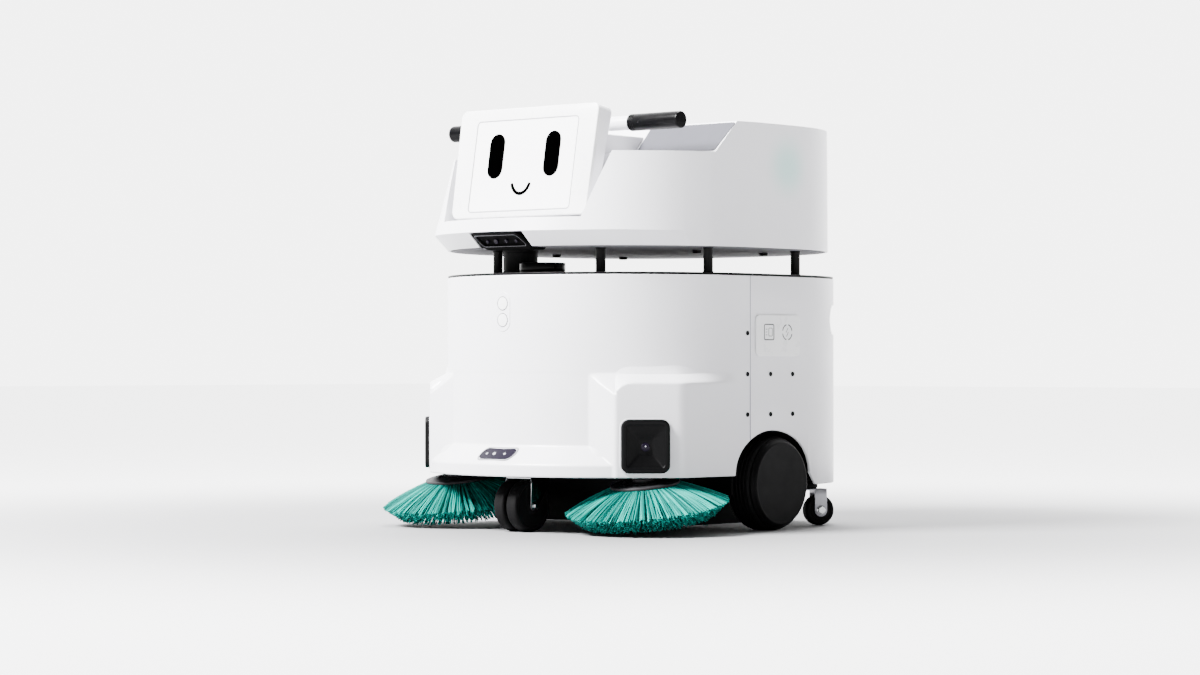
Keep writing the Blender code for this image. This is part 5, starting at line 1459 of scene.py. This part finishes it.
def make_roller():
    low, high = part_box("roller_brush")
    start, end = low[0], high[0]
    tip_r, root_r = (high[2] - low[2]) / 2 - 0.0008, 0.0292
    place = along_x(1, JOINTS["roller_spin"]["pos_m"])
    profile = [(0.0, start), (0.0219, start), (0.0219, start + 0.012), (0.008, start + 0.0125),
               (0.008, -0.195), (0.03, -0.194), (0.03, 0.194), (0.008, 0.195), (0.008, end), (0.0, end)]
    core = turned("roller_core", profile, 64, place, (0.0008, 2))
    finish(core, "roller", "black")
    rng = random.Random(7)
    paths, tones = [], []
    rows, count, half = 10, 150, 0.188
    for row in range(rows):
        for i in range(count):
            x = (half - 0.002) * (2 * i / (count - 1) - 1)
            turn = math.tau * row / rows + 1.2 * x / half + rng.uniform(-0.05, 0.05)
            lean = rng.uniform(-0.06, 0.06)
            reach = tip_r - rng.uniform(0.0, 0.0015)
            path = []
            for t in (0.0, 0.5, 1.0):
                a = turn + lean * t
                r = root_r + (reach - root_r) * t
                path.append((r * math.cos(a), r * math.sin(a), x + rng.uniform(-0.0006, 0.0006)))
            paths.append(path)
            tones.append(rng.random())
    bristles = placed(strands("roller_bristles", paths, 0.0011, 4, tones), place)
    finish(bristles, "roller", "bristle", "roller_brush")


# ------------------------------------------------------------------ carried-over CAD nodes
CARRIED = {
    "base_plate": "well", "wheel_well_left": "well", "wheel_well_right": "well",
    "roller_housing": "black",
    "drive_mount_left": "steel", "drive_mount_right": "steel", "roller_motor": "motor",
    "motor_pulley": "motor", "drive_belt": "belt", "dust_bin": "grey", "dust_filter": "filter",
    "fan_housing": "black", "fan_impeller": "grey", "battery_pack": "battery", "control_box": "steel",
    "port_tray": "black", "power_button": "button",
}


def dress_carried_nodes():
    for node, material in CARRIED.items():
        paint(frame["nodes"][node], material)


# ------------------------------------------------------------------ floor, light, camera
BACKDROP = Vector((-0.66, 0.75, 0.0)).normalized()
LIGHT_TARGET = Vector((0.0, 0.0, 0.35))
LAMPS = (("key", (-1.25, -3.0, 3.5), 1.6, 1950.0), ("top", (-0.4, 1.0, 3.2), 1.3, 420.0))


def make_world():
    """Studio surround: bright behind and above the object, dimmer on the side it is seen from."""
    world = bpy.data.worlds.new("studio")
    world.use_nodes = True
    tree = world.node_tree
    facing = measure(tree, "DOT_PRODUCT", "Generated", (BACKDROP.x, BACKDROP.y, 0.45))
    feed(tree, tree.nodes["Background"], {
        "Color": (1.0, 1.0, 1.0), "Strength": remap(tree, facing, 0.3, 5.6, 0.35, 0.92, "SMOOTHSTEP")})
    bpy.context.scene.world = world


def make_stage():
    """Pale floor that gives off light away from the object, so that it meets the surround unseen; the
    dim, unlit floor near the object is painted shade standing in for the soft shadow round it.
    """
    half = 30.0
    floor = mesh_object("floor", [(-half, -half, 0), (half, -half, 0), (half, half, 0), (-half, half, 0)],
                        [(0, 1, 2, 3)])
    material, tree, shader = new_material("pale_floor")
    grain = remap(tree, noise(tree, 420.0, 2.0), 0.0, 1.0)
    # Painted light and shade: emission rises with distance from the middle, so the floor stays dark under
    # and round the object and pale far off.
    lit = remap(tree, measure(tree, "LENGTH"), 0.0, 4.2, 0.35, 2.6, "SMOOTHERSTEP")
    feed(tree, shader, {"Base Color": mix_colour(tree, grain, (0.2, 0.2, 0.205), (0.22, 0.22, 0.225)),
                        "Emission Color": (1.0, 1.0, 1.0), "Emission Strength": lit,
                        "Roughness": 0.9, "Specular IOR Level": 0.1})
    floor.data.materials.append(material)
    make_world()
    for name, place, size, power in LAMPS:
        lamp = bpy.data.lights.new(name, "AREA")
        lamp.size = size
        lamp.energy = power
        light = bpy.data.objects.new(name, lamp)
        light.location = place
        aim = LIGHT_TARGET - Vector(place)
        light.rotation_euler = aim.to_track_quat("-Z", "Y").to_euler()
        bpy.context.scene.collection.objects.link(light)


def make_camera():
    lens = bpy.data.cameras.new("view")
    lens.sensor_width = 36.0
    lens.lens = 94.4
    lens.clip_end = 60.0
    camera = bpy.data.objects.new("view", lens)
    camera.location = (3.7489, -4.3538, 0.2935)
    camera.rotation_euler = (math.radians(90.49), 0.0, math.radians(41.25))
    bpy.context.scene.collection.objects.link(camera)
    bpy.context.scene.camera = camera


make_camera()
make_stage()
make_front_shell()
make_rear_shell()
make_bin_door()
make_deck()
make_lidar()
make_upper_body()
make_slant_panel()
make_console()
make_head()
make_handle()
make_side_cameras()
make_lower_camera()
make_chin_camera()
make_sonar()
make_screws()
make_gasket()
make_flap()
make_drive_wheels()
make_front_caster()
make_rear_casters()
make_side_brushes()
make_roller()
dress_carried_nodes()
